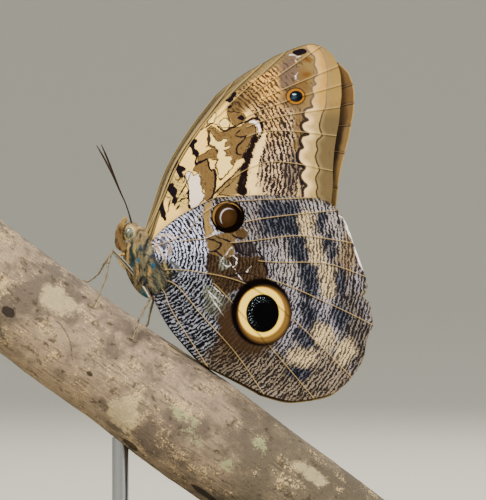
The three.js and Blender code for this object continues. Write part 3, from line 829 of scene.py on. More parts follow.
# A painted stroke is its pixels, its width in them and its colour.
HIND_BASE = [
    ([(153, 250), (150, 240), (154, 231), (160, 226)], 3, (206, 176, 130)),
    ([(163, 238), (164, 244), (164, 249)], 8, (62, 58, 68)),
    ([(162, 239), (164.5, 241.5), (163, 245)], 1.3, (196, 190, 196)),
    ([(166, 240), (165.5, 244), (167, 247)], 1.1, (176, 172, 180)),
    ([(156, 238), (157, 246), (160, 252), (165, 256)], 2.4, (204, 172, 124)),
    ([(158, 235), (164, 236), (169, 235), (175, 240)], 1.8, (212, 188, 150)),
    ([(171, 244), (170.5, 249), (168, 255)], 3.6, (184, 148, 98)),
    ([(174.5, 245), (172, 252), (168, 258.5)], 1.4, (34, 28, 28)),
    ([(153, 250), (154, 258), (156, 266)], 2.6, (180, 152, 112)),
    ([(158, 254), (159, 262), (162, 270)], 2.2, (60, 64, 76)),
    ([(164, 256), (165, 264), (168.5, 275)], 2, (186, 164, 124)),
    ([(170, 260), (176, 266), (182, 276)], 4, (92, 94, 90)),
]


def union(places, outlines):
    """Signed distance to the nearest of several outlines of pixels."""
    return np.min([outline_distance(places, o) for o in outlines], axis=0)


def strokes(places, table):
    return np.min([stroke_distance(places, pixels, width) for pixels, width in table], axis=0)


def lay(colours, colour, share):
    """Colours with another laid over them by a share."""
    return colours + (np.array(seen(*colour)) - colours) * np.asarray(share)[:, None]


def inside(distance, soft=0.16):
    return 1 - ramp(distance, -soft, soft)


def painted(places, colours, table, strength=1.0):
    """Colours with painted strokes over them, one after another."""
    for pixels, width, tint in table:
        colours = lay(colours, tint, strength * inside(stroke_distance(places, pixels, width), 0.22))
    return colours


def lay_both(scales, light_tint, dark_tint, share):
    """The colours of the light and the dark scales, each with another laid over them by a share."""
    light, dark = scales
    return lay(light, light_tint, share), lay(dark, dark_tint, share)


def grounds(places, table, warp):
    """The light and the dark scales and how much is dark, from a table of soft patches."""
    wavy = places + warp[:, None] * (1.2, 0.9)
    scales = np.zeros((len(places), 3)), np.zeros((len(places), 3))
    share = np.zeros(len(places))
    for centre, size, turn, light_tint, dark_tint, amount in table:
        spot = blob(wavy, centre, size, turn)
        scales = lay_both(scales, light_tint, dark_tint, spot)
        share += (amount - share) * spot
    return scales, share


def side_of(places, pixels):
    """Signed distance to a line that runs down the wing: negative on its side to the body."""
    line = spline(plane(pixels), 10 * len(pixels))
    gap, _ = path_distance(places, line)
    at = np.interp(-places[:, 1], np.maximum.accumulate(-line[:, 1]), line[:, 0])
    return np.where(places[:, 0] < at, -gap, gap)


def jagged(places, scale, reach, seed):
    """The places moved about a little, so that what is drawn with them has jagged edges."""
    coarse = [lattice_noise(places, scale, seed + i) for i in range(2)]
    fine = [lattice_noise(places, scale * 0.5, seed + 10 + i) for i in range(2)]
    return places + reach * (np.stack(coarse, 1) + 0.5 * np.stack(fine, 1))


def polar(places, centre):
    """Distance from a pixel, and distance round it."""
    d = places - plane(centre)
    radius = np.linalg.norm(d, axis=1)
    return radius, np.arctan2(d[:, 1], d[:, 0]) * 30


def forewing_pattern(fields):
    """Everything about the forewing's markings that its shader reads."""
    places = fields["places"]
    warp = lattice_noise(places, 2.2, SEED) + 0.5 * lattice_noise(places, 0.9, SEED + 1)
    jag, digits = jagged(places, 0.7, 0.16, SEED + 2), jagged(places, 0.9, 0.26, SEED + 4)
    scales, share = grounds(places, FORE_GROUND, warp)
    patch = {}
    for name, outlines, at, light_tint, dark_tint, amount in (
            ("band", FORE_BAND, digits, (226, 214, 194), (150, 132, 116), -0.5),
            ("tan", FORE_TAN, jag, (180, 153, 110), (136, 108, 76), -0.45),
            ("ochre", FORE_OCHRE, digits, (166, 132, 86), (122, 88, 50), -0.4),
            ("bar", FORE_BAR, digits, (76, 54, 50), (34, 20, 22), 0.4),
            ("cream", FORE_CREAM, digits, (230, 218, 194), (196, 180, 156), -0.7),
            ("white", FORE_WHITE, digits, (222, 216, 212), (184, 175, 168), -0.6)):
        distance = union(at, outlines)
        mask = inside(distance, 0.14)
        scales = lay_both(scales, light_tint, dark_tint, mask)
        share += (amount - share) * mask
        patch[name] = distance
    outlined = np.minimum(np.minimum(patch["cream"], patch["ochre"]), patch["white"])
    outlined = np.where(np.abs(patch["cream"]) < np.abs(outlined), patch["cream"], outlined)
    ink = np.minimum(union(digits, FORE_BLACK), strokes(jag, FORE_STROKES))
    ink = np.minimum(ink, union(places, FORE_APEX))
    inner_line, outer_line = side_of(places, FORE_INNER_LINE), side_of(places, FORE_OUTER_LINE)
    low = ramp(places[:, 1], plane((0, 96))[1], plane((0, 122))[1])
    navy = np.max([blob(jag, *spot) for spot in FORE_NAVY], axis=0)
    past, beyond = ramp(inner_line, -0.1, 0.1), ramp(outer_line, -0.1, 0.1)
    past_pale = past * (1 - ramp(inner_line, 0.5, 2.6)) * (0.3 + 0.7 * low)
    beyond_pale = beyond * (1 - ramp(outer_line, 0.3, 1.6)) * 0.6
    halo = blob(places, *FORE_EYESPOT["halo"])
    orange = 0.85 * np.max([blob(places, *spot) for spot in FORE_ORANGE], axis=0) * (1 - past)
    for light_tint, dark_tint, mask in (
            ((54, 48, 72), (28, 24, 40), navy),
            ((206, 177, 126), (190, 160, 106), past),
            ((202, 183, 148), (178, 157, 120), past * low),
            ((222, 209, 192), (208, 192, 170), past_pale),
            ((190, 163, 115), (168, 140, 94), beyond),
            ((152, 127, 87), (130, 106, 70), beyond * low),
            ((186, 166, 134), (168, 146, 112), beyond_pale),
            ((132, 102, 74), (92, 66, 46), 0.8 * halo),
            ((158, 104, 44), (140, 86, 34), orange)):
        scales = lay_both(scales, light_tint, dark_tint, mask)
    share += (-0.5 - share) * past
    share += (-0.3 - share) * halo
    radius, arc = polar(places, (185, 170))
    return {
        "light": scales[0], "dark": scales[1], "share": share,
        "ink": ink, "white": strokes(jag, FORE_WHITE_STROKES), "outlined": outlined,
        "inner_line": inner_line, "outer_line": outer_line,
        "phase": radius / 1.2 + 0.2 * warp, "arc": arc,
    }


def hindwing_pattern(fields):
    """Everything about the hindwing's markings that its shader reads."""
    places = fields["places"]
    warp = lattice_noise(places, 2.6, SEED + 5) + 0.5 * lattice_noise(places, 1.0, SEED + 6)
    jag = jagged(places, 0.8, 0.2, SEED + 7)
    torn = jagged(places, 1.8, 0.8, SEED + 9)
    scales, share = grounds(places, HIND_GROUND, warp)
    for outlines, at, light_tint, dark_tint, amount, soft in (
            (HIND_NAVY, torn, (128, 129, 140), (28, 29, 40), 0.2, 1.1),
            (HIND_CREAM, torn, (212, 200, 184), (112, 99, 90), -0.02, 1.3),
            (HIND_BROWN, jag, (108, 80, 56), (56, 34, 22), 0.05, 0.4),
            (HIND_GREY, jag, (124, 112, 110), (46, 38, 41), 0.2, 0.3),
            (HIND_TAN, jag, (150, 120, 76), (108, 80, 46), -0.35, 0.15),
            (HIND_RUST, jag, (118, 86, 52), (90, 60, 28), -0.3, 0.15),
            (HIND_SCARS, jag, (160, 160, 146), (84, 84, 74), 0.0, 0.5)):
        mask = inside(union(at, outlines), soft)
        scales = lay_both(scales, light_tint, dark_tint, mask)
        share += (amount - share) * mask
    surround = inside(union(jag, HIND_TAN[:1]), 0.2)
    light, dark = lay_both(scales, (186, 160, 116), (140, 112, 76), surround)
    scales = painted(jag, light, HIND_BASE, 0.95), painted(jag, dark, HIND_BASE, 0.7)
    share -= 0.5 * inside(strokes(jag, [(pixels, width) for pixels, width, _ in HIND_BASE]), 0.4)
    rim = 1 - ramp(fields["rim"], 0.3, 1.6)
    scales = lay_both(scales, (170, 152, 130), (74, 60, 52), 0.6 * rim)
    radius, arc = polar(places, (150, 255))
    far_off = np.full(len(places), 9.0)
    return {
        "light": scales[0], "dark": scales[1], "share": share,
        "ink": strokes(jag, HIND_STROKES), "white": strokes(jag, HIND_WHITE_STROKES), "outlined": far_off,
        "inner_line": -far_off, "outer_line": -far_off,
        "phase": radius / 1.06 + 0.25 * warp, "arc": arc,
    }


def wing_mesh(name, fields, pattern, layer, side, turn, materials):
    """One wing's membrane: its outer face is the ventral one and its inner face the dorsal one."""
    columns = fields["columns"]
    count = len(columns)
    bpy.ops.mesh.primitive_grid_add(x_subdivisions=WING_ROWS - 1, y_subdivisions=count - 1, size=2)
    o = active()
    a = math.radians(-turn)
    spun = columns @ np.array([[math.cos(a), math.sin(a)], [-math.sin(a), math.cos(a)]])
    flat = spun.reshape(-1, 2)
    from_root = np.linalg.norm(spun - spun[:, :1], axis=2).reshape(-1)
    x, z = fields["places"].T
    swell = 0.14 * np.sin(x / 7 + z / 11) + 0.1 * np.sin(z / 6 - x / 13 + 1)
    vein = VEIN_RIDGE["height"] * np.exp(-(fields["vein"] / VEIN_RIDGE["half_width"]) ** 2)
    pleat = CELL_PLEAT * fields["cell"] * ramp(from_root, 18, 40)
    out = sheet_side(layer, flat, from_root) + vein + pleat
    across = side * out + swell * ramp(from_root, 3, 16)
    place_points(o, np.stack([HINGE[0] + flat[:, 0], across, HINGE[1] + flat[:, 1]], 1))
    set_uv(o, "UVMap", fields["places"])
    for key, values in pattern.items():
        if values.ndim == 2:
            set_colour(o, key, values)
        else:
            set_number(o, key, values)
    for key in ("vein", "rim", "lead"):
        set_number(o, key, fields[key])
    for material in materials:
        o.data.materials.append(material)
    if (o.data.polygons[0].normal.y > 0) != (side > 0):
        edit_all(o, bpy.ops.mesh.flip_normals)
    apply_modifier(o, "SOLIDIFY", thickness=WING_THICKNESS * MM, offset=0, material_offset=1)
    smooth_shade(o, 50)
    return settle(o, name + "_membrane", [], [name])


def scale_bump(s, uv, normal_height):
    """The fine rows of scales, over a larger relief."""
    rows = s.cells(s.stretch(uv, (1, 1, 1), (0, 0, 0.5)), 5.5)
    under = s.bump(normal_height, 0.0006, 0.5)
    return s.bump(rows, 0.00006, 0.35, under)


def ventral_material(name, costa, spots):
    """The patterned face of a wing, from its mesh's measurements, with its eyespots over it."""
    s = Shader(name, roughness=0.8, specular=0.0)
    uv = s.uv("UVMap")
    grain = s.noise(uv, 1.7, 3.0)
    fine = s.noise(uv, 6.0, 2.0, 0.7)
    phase, arc = s.attribute("phase"), s.attribute("arc")
    flow = s.node("ShaderNodeCombineXYZ", None, [phase * 1.25, arc * 0.42, 0.0]).outputs[0]
    strands = s.noise(flow, 1.0, 3.0, 0.62)
    waver = (grain - 0.5) * 1.3 + (s.noise(uv, 0.6, 2.0) - 0.5) * 1.5
    wave = ((phase + waver) * (2 * math.pi)).sin() * 0.62
    tone = wave + (strands - 0.5) * 3.4 + (fine - 0.5) * 0.9 + s.attribute("share") * 2
    colour = s.mix(s.paint("light"), s.paint("dark"), tone.ramp(-0.45, 0.4))
    x, z, _ = s.split(uv)
    if costa:
        colour = costal_lines(s, colour, fine, grain, x)
    jitter = (fine - 0.5) * 0.5 + (grain - 0.5) * 0.25
    outline = ((s.attribute("outlined") + jitter * 0.5).abs() + jitter * 0.5).ramp(0.24, 0.08)
    colour = s.mix(colour, seen(44, 30, 34), outline * 0.9)
    colour = s.mix(colour, seen(222, 220, 220), (s.attribute("white") + jitter * 0.6).ramp(0.1, -0.1))
    colour = s.mix(colour, seen(34, 24, 32), (s.attribute("ink") + jitter * 0.7).ramp(0.12, -0.08))
    inner = (s.attribute("inner_line") + jitter * 0.6 + 0.12).abs()
    outer = (s.attribute("outer_line") + jitter * 0.5).abs()
    upper = z.ramp(34, 46)
    line_tint = s.mix(seen(30, 24, 36), seen(150, 128, 118), upper)
    outer_tint = s.mix(seen(70, 52, 46), seen(176, 150, 128), upper)
    heavy = upper * -0.22
    colour = s.mix(colour, line_tint, (inner - heavy).ramp(0.62, 0.34) * 0.95)
    colour = s.mix(colour, outer_tint, (outer - heavy * 0.5).ramp(0.36, 0.16) * 0.9)
    vein = (s.attribute("vein") + jitter * 0.2).ramp(0.18, 0.05)
    colour = s.mix(colour, seen(206, 188, 160), vein * 0.6)
    colour = spots(s, uv, colour, jitter, vein)
    colour = s.tint(colour, 0.84 + fine * 0.32)
    normal = scale_bump(s, uv, s.attribute("vein").ramp(0.5, 0.0))
    return s.finish(colour, normal)


def costal_lines(s, colour, fine, grain, x):
    """The lengthwise lines of the forewing's leading edge."""
    lead = s.attribute("lead") + (grain - 0.5) * 0.16
    faint = x.ramp(36, 16)
    strip = lead.ramp(3.1, 2.6) * x.ramp(44, 36)
    colour = s.mix(colour, seen(168, 148, 112), strip * 0.9)
    speckle = (fine + (grain - 0.5) * 0.5).ramp(0.42, 0.56)
    grey = s.mix(seen(66, 58, 46), seen(128, 114, 90), speckle)
    for middle, half, tint, amount in ((0.95, 0.42, grey, 0.95), (2.15, 0.22, seen(62, 50, 38), 0.85),
                                       (2.75, 0.14, seen(84, 68, 52), 0.8)):
        line = (lead - middle).abs().ramp(half + 0.1, half - 0.1)
        colour = s.mix(colour, tint, line * amount * faint)
    return s.mix(colour, seen(132, 106, 72), lead.ramp(0.4, 0.2) * 0.8)


def within(s, uv, spot, rough, soft=0.03):
    """1 inside an ellipse of pixels, 0 outside."""
    return ellipse(s, uv, spot, rough).ramp(1 + soft, 1 - soft)


def ellipse(s, uv, spot, jitter=None):
    """1 on an ellipse of pixels, less inside."""
    (cx, cy), (w, h) = spot
    x, z, _ = s.split(uv)
    middle = plane((cx, cy))
    u = (x - middle[0]) / (w * MM_PER_PIXEL)
    v = (z - middle[1]) / (h * MM_PER_PIXEL)
    radius = (u * u + v * v) ** 0.5
    return radius if jitter is None else radius + jitter


def eyespot(s, uv, colour, jitter, vein):
    """The small eyespot of the forewing's tip. No vein crosses it."""
    rough = jitter * 0.05
    colour = s.mix(colour, seen(58, 40, 28), within(s, uv, FORE_EYESPOT["edge"], rough, 0.06))
    colour = s.mix(colour, seen(196, 142, 66), within(s, uv, FORE_EYESPOT["ring"], rough, 0.05))
    pupil = within(s, uv, FORE_EYESPOT["pupil"], rough, 0.06)
    colour = s.mix(colour, seen(16, 24, 32), pupil)
    shine = ellipse(s, uv, FORE_EYESPOT["shine"])
    colour = s.mix(colour, seen(74, 104, 124), shine.ramp(1.2, 0.2) * 0.7)
    glint = ellipse(s, uv, FORE_EYESPOT["glint"])
    return s.mix(colour, seen(214, 222, 226), glint.ramp(1.2, 0.5) * 0.8)


def ocelli(s, uv, colour, jitter, vein):
    """The two eyespots of the hindwing. Veins cross their rings as thin dark lines."""
    rough = jitter * 0.07
    x, z, _ = s.split(uv)
    halo = ellipse(s, uv, HIND_OCELLUS["halo"], jitter * 0.3)
    below = (z + x * 0.3).ramp(-9, -14)
    colour = s.mix(colour, seen(84, 54, 34), halo.ramp(1.14, 0.86) * 0.8 * below)
    colour = s.mix(colour, seen(14, 9, 9), within(s, uv, HIND_OCELLUS["black"], rough, 0.05))
    brown = ellipse(s, uv, HIND_OCELLUS["brown"], rough)
    warm = s.mix(seen(168, 128, 70), seen(80, 48, 24), brown.ramp(0.85, 0.99))
    colour = s.mix(colour, warm, brown.ramp(1.03, 0.97))
    yellow = ellipse(s, uv, HIND_OCELLUS["yellow"], rough)
    pale = s.mix(seen(238, 221, 166), seen(206, 168, 98), yellow.ramp(0.95, 1.02))
    colour = s.mix(colour, pale, yellow.ramp(1.05, 0.98))
    colour = s.mix(colour, seen(110, 82, 52), vein * 0.7 * yellow.ramp(1.1, 1.0))
    colour = s.mix(colour, seen(9, 8, 9), within(s, uv, HIND_OCELLUS["pupil"], rough, 0.04))
    dust = s.noise(uv, 2.4, 2.0, 0.6)
    big = ellipse(s, uv, HIND_OCELLUS["pupil"])
    middle = plane(HIND_OCELLUS["pupil"][0])
    upper_left = ((z - middle[1]) * 0.5 - (x - middle[0])) / 6
    arc = big.ramp(0.5, 0.76) * big.ramp(0.95, 0.84) * upper_left.ramp(-0.2, 0.6)
    colour = s.mix(colour, seen(196, 204, 210), dust.ramp(0.6, 0.65) * arc)
    colour = s.mix(colour, seen(13, 7, 5), within(s, uv, HIND_SMALL["black"], rough))
    clear = ellipse(s, uv, HIND_SMALL["shade"], rough).ramp(0.99, 1.03)
    colour = s.mix(colour, seen(176, 138, 88), within(s, uv, HIND_SMALL["tan"], rough) * clear)
    small = ellipse(s, uv, HIND_SMALL["pupil"], rough)
    rust = s.mix(seen(98, 58, 28), seen(66, 34, 13), small.ramp(0.2, 0.95))
    colour = s.mix(colour, rust, small.ramp(1.08, 0.92))
    arc = within(s, uv, HIND_SMALL["glint"], rough, 0.08)
    bite = ellipse(s, uv, HIND_SMALL["glint_bite"], rough).ramp(0.97, 1.05)
    high = z.ramp(plane((0, 225))[1], plane((0, 222))[1])
    return s.mix(colour, seen(206, 200, 204), arc * bite * high * 0.9)


def dorsal_material(name, ground, rim_tint, rim_width):
    """The inner face of a wing: brown with a blue sheen, and a warm rim."""
    s = Shader(name, roughness=0.6)
    uv = s.uv("UVMap")
    x, z, _ = s.split(uv)
    fine = s.noise(uv, 6.0, 2.0, 0.7)
    broad = s.noise(uv, 0.25, 3.0)
    rim = s.attribute("rim") + (broad - 0.5) * 2 + (fine - 0.5) * 0.5
    warm = z.ramp(34, 50)
    colour = s.mix(seen(58, 56, 84), seen(*ground), (x + broad * 16).ramp(18, 44))
    colour = s.mix(colour, seen(*rim_tint), rim.ramp(rim_width * 1.6, rim_width * 0.6))
    colour = s.mix(colour, seen(143, 99, 48), warm * rim.ramp(9.0, 4.0) * 0.8)
    colour = s.mix(colour, seen(196, 170, 126), (s.attribute("rim") + (fine - 0.5) * 0.5).ramp(0.4, 0.2))
    vein = s.attribute("vein")
    colour = s.mix(colour, seen(40, 26, 20), (vein - 0.35).abs().ramp(0.2, 0.06) * 0.6)
    colour = s.mix(colour, seen(150, 118, 76), vein.ramp(0.2, 0.08) * 0.8)
    colour = s.tint(colour, 0.82 + fine * 0.36)
    return s.finish(colour, scale_bump(s, uv, vein.ramp(0.5, 0.0)))


def make_wings():
    """Both pairs of wings. The far ones are turned a little, so that they show behind the near ones."""
    dorsal = [dorsal_material("forewing_dorsal", (74, 48, 28), (160, 126, 76), 1.6),
              dorsal_material("hindwing_dorsal", (66, 46, 36), (92, 66, 46), 1.6)]
    kinds = (
        ("forewing", FOREWING, FORE_LAYER, FAR_FOREWING_TURN, forewing_pattern,
         ventral_material("forewing_ventral", True, eyespot), dorsal[0]),
        ("hindwing", HINDWING, HIND_LAYER, FAR_HINDWING_TURN, hindwing_pattern,
         ventral_material("hindwing_ventral", False, ocelli), dorsal[1]),
    )
    for kind, wing, layer, far_turn, pattern_of, ventral, back in kinds:
        fields = wing_fields(wing)
        pattern = pattern_of(fields)
        for hand, side, turn in (("left", -1, 0), ("right", 1, far_turn)):
            wing_mesh(f"{kind}_{hand}", fields, pattern, layer, side, turn, [ventral, back])


# Body

# A leg's hip, knee and ankle, and where its foot stands: along the branch, and degrees round it.
LEGS = {
    "mid_left": ((-4.2, -10.8, -2.6), (-11.1, -3, -7), (-12.9, -11.4, -10.5), (-33.1, -44)),
    "mid_right": ((-4.2, -10.8, 2.6), (-11.4, -3.6, 6), (-15.9, -10.2, 9.5), (-38.9, 12)),
    "hind_left": ((-2.1, -13.8, -2.2), (0.3, -17.4, -8), (-3.6, -24.9, -9.5), (-17.8, -49)),
    "hind_right": ((-2.1, -13.8, 2.2), (0.9, -18, 8), (-0.9, -25.5, 8.8), (-17.5, 38)),
}
FORELEG = {
    "path": [(-4.2, -5.4), (-8.2, -4.2), (-9.2, -6), (-7.4, -8.8)],
    "side": 1.5,
    "radii": (0.55, 0.5, 0.42, 0.28),
}
PALP = {
    "path": [(-7.2, -2.7), (-8.85, -1.2), (-9.06, 1.2), (-8.7, 3.6), (-7.5, 6.15)],
    "side": 1.5,
    "radii": (0.7, 0.85, 0.8, 0.66, 0.3),
}
PROBOSCIS = {"centre": (-8.3, -1.9), "radius": 1.1, "turns": 2.6, "thickness": 0.17}
ANTENNA = {
    "path": [(-5.3, 4.2), (-6.9, 9.9), (-9, 15), (-11.1, 20.4), (-12.9, 24.9), (-14.4, 28.5)],
    "side": [0.9, 1.2, 1.8, 2.6, 3.6, 4.6],
    "radii": (0.3, 0.22, 0.18, 0.18, 0.19, 0.22, 0.3, 0.28, 0.12),
    "lean": {"left": 0, "right": 1.8},
}


def tube(name, centres, radii, sides=12, flatten=None):
    """A closed tube along a line of centres.

    `flatten` gives a direction across it, and how thin the tube is that way.
    """
    centres = np.asarray(centres, float)
    count = len(centres)
    radii = np.interp(np.linspace(0, 1, count), np.linspace(0, 1, len(radii)), radii)
    tangents = np.gradient(centres, axis=0)
    tangents /= np.linalg.norm(tangents, axis=1)[:, None]
    across = np.cross(tangents[0], (0.2, 1, 0.1))
    rings = []
    for centre, tangent, radius in zip(centres, tangents, radii):
        across = across - (across @ tangent) * tangent
        across /= np.linalg.norm(across)
        other = np.cross(tangent, across)
        angle = np.linspace(0, 2 * math.pi, sides, endpoint=False)[:, None]
        ring = radius * (np.cos(angle) * across + np.sin(angle) * other)
        if flatten is not None:
            thin, keep = np.array(flatten[0], float), flatten[1]
            ring = ring - np.outer(ring @ thin, thin) * (1 - keep)
        rings.append(centre + ring)
    cap_low = centres[0] - tangents[0] * radii[0] * 0.5
    cap_high = centres[-1] + tangents[-1] * radii[-1] * 0.5
    around = np.arange(sides)
    turned = (around + 1) % sides
    first, last = count * sides, count * sides + 1
    low = np.stack([turned, around, np.full(sides, first)], 1)
    high = np.stack([around, turned, np.full(sides, last)], 1) + [[(count - 1) * sides] * 2 + [0]]
    faces = [*tube_faces(count, sides), *low.tolist(), *high.tolist()]
    o = new_mesh(name, (np.vstack([*rings, cap_low, cap_high]) * MM).tolist(), faces)
    outward(o)
    set_number(o, "turn", np.concatenate([np.tile(around / sides, count), [0, 0]]))
    smooth_shade(o, 60)
    return o


def path3(points, sides, count):
    """A smooth line through places given along X and up from the hinge, and sideways."""
    sides = np.broadcast_to(sides, len(points))
    return spline([from_hinge(x, z, y) for (x, z), y in zip(points, sides)], count)


def ellipsoid(name, centre, semi, tilt, segments=48, rings=32):
    """An ellipsoid whose first axis is tilted down towards +X by `tilt` degrees."""
    bpy.ops.mesh.primitive_uv_sphere_add(segments=segments, ring_count=rings, radius=1)
    o = active()
    p = np.empty(len(o.data.vertices) * 3, np.float32)
    o.data.vertices.foreach_get("co", p)
    p = p.reshape(-1, 3) * semi
    a = math.radians(tilt)
    turned = np.stack([p[:, 0] * math.cos(a) + p[:, 2] * math.sin(a), p[:, 1],
                       -p[:, 0] * math.sin(a) + p[:, 2] * math.cos(a)], 1)
    place_points(o, turned + centre)
    o.name = name
    smooth_shade(o)
    return o


def abdomen_line(count):
    start, end = ABDOMEN["start"], ABDOMEN["end"]
    middle = ((start[0] + end[0]) / 2, (start[1] + end[1]) / 2 + ABDOMEN["sag"])
    return path3([start, middle, end], 0, count)


ABDOMEN_SHARES = (0.72, 0.96, 1.0, 0.96, 0.82, 0.36)


# The marks of the head's and the thorax's side: pixels, width in them and colour.
BODY_MARKS = [
    ([(127, 226), (134, 224), (142, 229), (140, 240), (130, 246)], 12, (192, 176, 152)),
    ([(135, 233), (137, 228), (142, 227)], 2.2, (212, 190, 154)),
    ([(137, 236), (139, 231), (144, 231)], 1.4, (96, 74, 56)),
    ([(140, 224), (145, 228), (147, 236)], 1.6, (208, 186, 150)),
    ([(140.5, 234), (140.5, 238.5)], 3.2, (92, 78, 72)),
    ([(138.5, 240), (141, 241)], 3, (180, 146, 110)),
    ([(133, 240), (132, 246), (131.5, 252), (133, 259), (133.6, 267), (132, 276)], 3.2, (58, 90, 106)),
    ([(135.5, 243), (135, 250), (136, 256)], 2, (204, 194, 152)),
    ([(129.6, 243), (129, 250), (128.4, 259), (129, 268), (130, 276)], 2.4, (214, 196, 164)),
    ([(127.4, 243), (126.8, 249), (126.4, 256)], 1.3, (44, 34, 28)),
    ([(124, 243), (124.5, 252), (127, 264), (130, 276)], 2.4, (180, 160, 134)),
    ([(137, 259.6), (139.4, 260)], 3.4, (76, 164, 184)),
    ([(133.5, 262), (133, 268)], 2, (84, 150, 158)),
    ([(141, 245), (141.5, 251)], 3.4, (66, 108, 134)),
    ([(137.5, 262), (138, 270), (136.5, 278)], 2.2, (204, 184, 154)),
    ([(139.6, 263), (139.6, 271)], 2, (74, 58, 46)),
    ([(144, 256), (148, 254)], 2.2, (54, 48, 48)),
    ([(146, 249), (147, 244), (149, 237)], 2.6, (60, 60, 70)),
    ([(150, 257.5), (154.5, 254.6)], 3.6, (44, 78, 122)),
    ([(146, 263), (150.5, 262)], 2, (42, 42, 52)),
    ([(153.5, 261.5), (152.6, 268)], 4.4, (78, 150, 172)),
    ([(149, 266), (150, 272), (148, 276)], 2.2, (214, 190, 152)),
    ([(145.4, 267.6), (145.6, 270.4)], 3.4, (150, 156, 136)),
    ([(145.4, 268), (145.6, 270)], 1.8, (34, 30, 27)),
    ([(143.4, 274.5), (141, 279), (139, 284)], 2.3, (46, 56, 74)),
    ([(148.6, 276), (147, 280.5), (144.6, 285.5)], 2.6, (50, 72, 104)),
    ([(151, 277), (150, 283), (147.6, 288)], 2, (186, 170, 140)),
    ([(133.8, 268), (134.6, 276), (137, 284), (141, 292)], 3.4, (184, 162, 136)),
    ([(154, 270), (157, 280), (160, 288), (164, 296)], 6, (142, 144, 124)),
    ([(156, 262), (162, 272), (168, 284)], 4, (84, 90, 90)),
    ([(153, 276), (156, 283), (158, 290)], 2, (80, 84, 78)),
    ([(157, 274), (160, 282), (162, 290)], 1.8, (190, 180, 152)),
    ([(161, 270), (165, 277), (169, 283)], 1.6, (176, 170, 150)),
    ([(142, 289.4), (144.6, 292.6), (147.8, 297)], 4.4, (98, 186, 196)),
    ([(150, 296), (153, 297)], 3.4, (220, 190, 150)),
]


def body_paint(p):
    """The colour of scales and hair at places on the body."""
    places = p[:, ::2] - HINGE
    streaks = places * (1, 0.4) + (40, 40)
    streak = lattice_noise(streaks, 0.75, SEED + 80) + 0.6 * lattice_noise(streaks, 0.34, SEED + 81)
    shade = ramp(streak, -0.35, 0.45)
    colours = lay(np.tile(seen(178, 167, 143), (len(p), 1)), (84, 84, 82), 0.75 * shade)
    front = ramp(-places[:, 0], 6.2, 7.6)
    colours = lay(colours, (186, 168, 140), 0.7 * front)
    rear = ramp(p[:, 0], -0.5, 3.0)
    colours = lay(colours, (150, 134, 114), 0.6 * rear * (1 - shade))
    wavy = places + 0.22 * np.stack([lattice_noise(places, 0.8, SEED + 82 + i) for i in range(2)], 1)
    colours = painted(wavy, colours, BODY_MARKS, 0.95)
    return colours * (1.0 + 0.22 * lattice_noise(streaks, 0.25, SEED + 84))[:, None]


def body_material(name, roughness):
    """Skin or hair in the colours that its mesh carries."""
    s = Shader(name, roughness=roughness)
    millimetres = s.millimetres()
    fine = s.noise(millimetres, 5.0, 2.0)
    return s.finish(s.tint(s.paint("paint"), 0.84 + fine * 0.32), s.bump(fine, 0.0001, 0.5))


def palp_paint(p):
    """The colour of a palp: orange-brown in front, paler to its tip and its face side."""
    places = p[:, ::2] - HINGE
    streak = lattice_noise(places * (1, 0.35) + (40, 40), 0.4, SEED + 85)
    colours = lay(np.tile(seen(186, 158, 122), (len(p), 1)), (112, 88, 62), 0.75 * ramp(streak, 0.0, 0.6))
    colours = lay(colours, (208, 188, 156), 0.8 * ramp(places[:, 1], 3.0, 5.6))
    return lay(colours, (206, 184, 150), 0.7 * ramp(places[:, 0], -8.7, -7.9))


def make_skin(material):
    """Head, thorax and abdomen as one skin, with a neck between head and thorax and rings along the abdomen.
    """
    skin = ellipsoid("skin", from_hinge(*THORAX["centre"]), THORAX["semi"], THORAX["tilt"])
    head = ellipsoid("head_shape", from_hinge(*HEAD["centre"]), HEAD["semi"], HEAD["tilt"])
    radii = [share * ABDOMEN["radius"] for share in ABDOMEN_SHARES]
    rear = tube("abdomen_shape", abdomen_line(40), radii, 32)
    neck = tube("neck_shape", path3([(-4.6, 0.8), (-3.6, -2.6)], 0, 8), (2.1, 3.0), 24)
    join([skin, head, rear, neck])
    apply_modifier(skin, "REMESH", mode="VOXEL", voxel_size=0.28 * MM)
    apply_modifier(skin, "SMOOTH", iterations=6, factor=0.5)
    p = points_of(skin)
    along = (p - from_hinge(*ABDOMEN["start"])) @ abdomen_axis()
    ring = 0.12 * np.cos(along / 2.6 * 2 * math.pi) * ramp(along, 1, 4)
    place_points(skin, p + normals_of(skin) * ring[:, None])
    smooth_shade(skin)
    set_colour(skin, "paint", body_paint(points_of(skin)))
    return settle(skin, "body_skin", material, ["head", "thorax", "abdomen"])


def abdomen_axis():
    axis = from_hinge(*ABDOMEN["end"]) - from_hinge(*ABDOMEN["start"])
    return axis / np.linalg.norm(axis)


def normals_of(o):
    n = np.empty(len(o.data.vertices) * 3, np.float32)
    o.data.vertex_normals.foreach_get("vector", n)
    return n.reshape(-1, 3).astype(float)


def body_lie(p):
    """The way hair lies on the body: down the thorax and back along the abdomen, up on the head's top."""
    tilt = math.radians(THORAX["tilt"])
    down = np.array([math.cos(tilt), 0, -math.sin(tilt)])
    rear = abdomen_axis()
    share = ramp(p[:, 0], 0, 4)[:, None] * ramp(-p[:, 2], -107, -103)[:, None]
    lie = down * (1 - share) + rear * share
    crown = ramp(p[:, 2], 120.5, 122.5)[:, None]
    return lie * (1 - crown) + np.array([0.25, 0, 0.97]) * crown


TUFT_STEPS = 3
# The width of each tuft's own patch on its unwrap.
TUFT_PATCH = 0.003


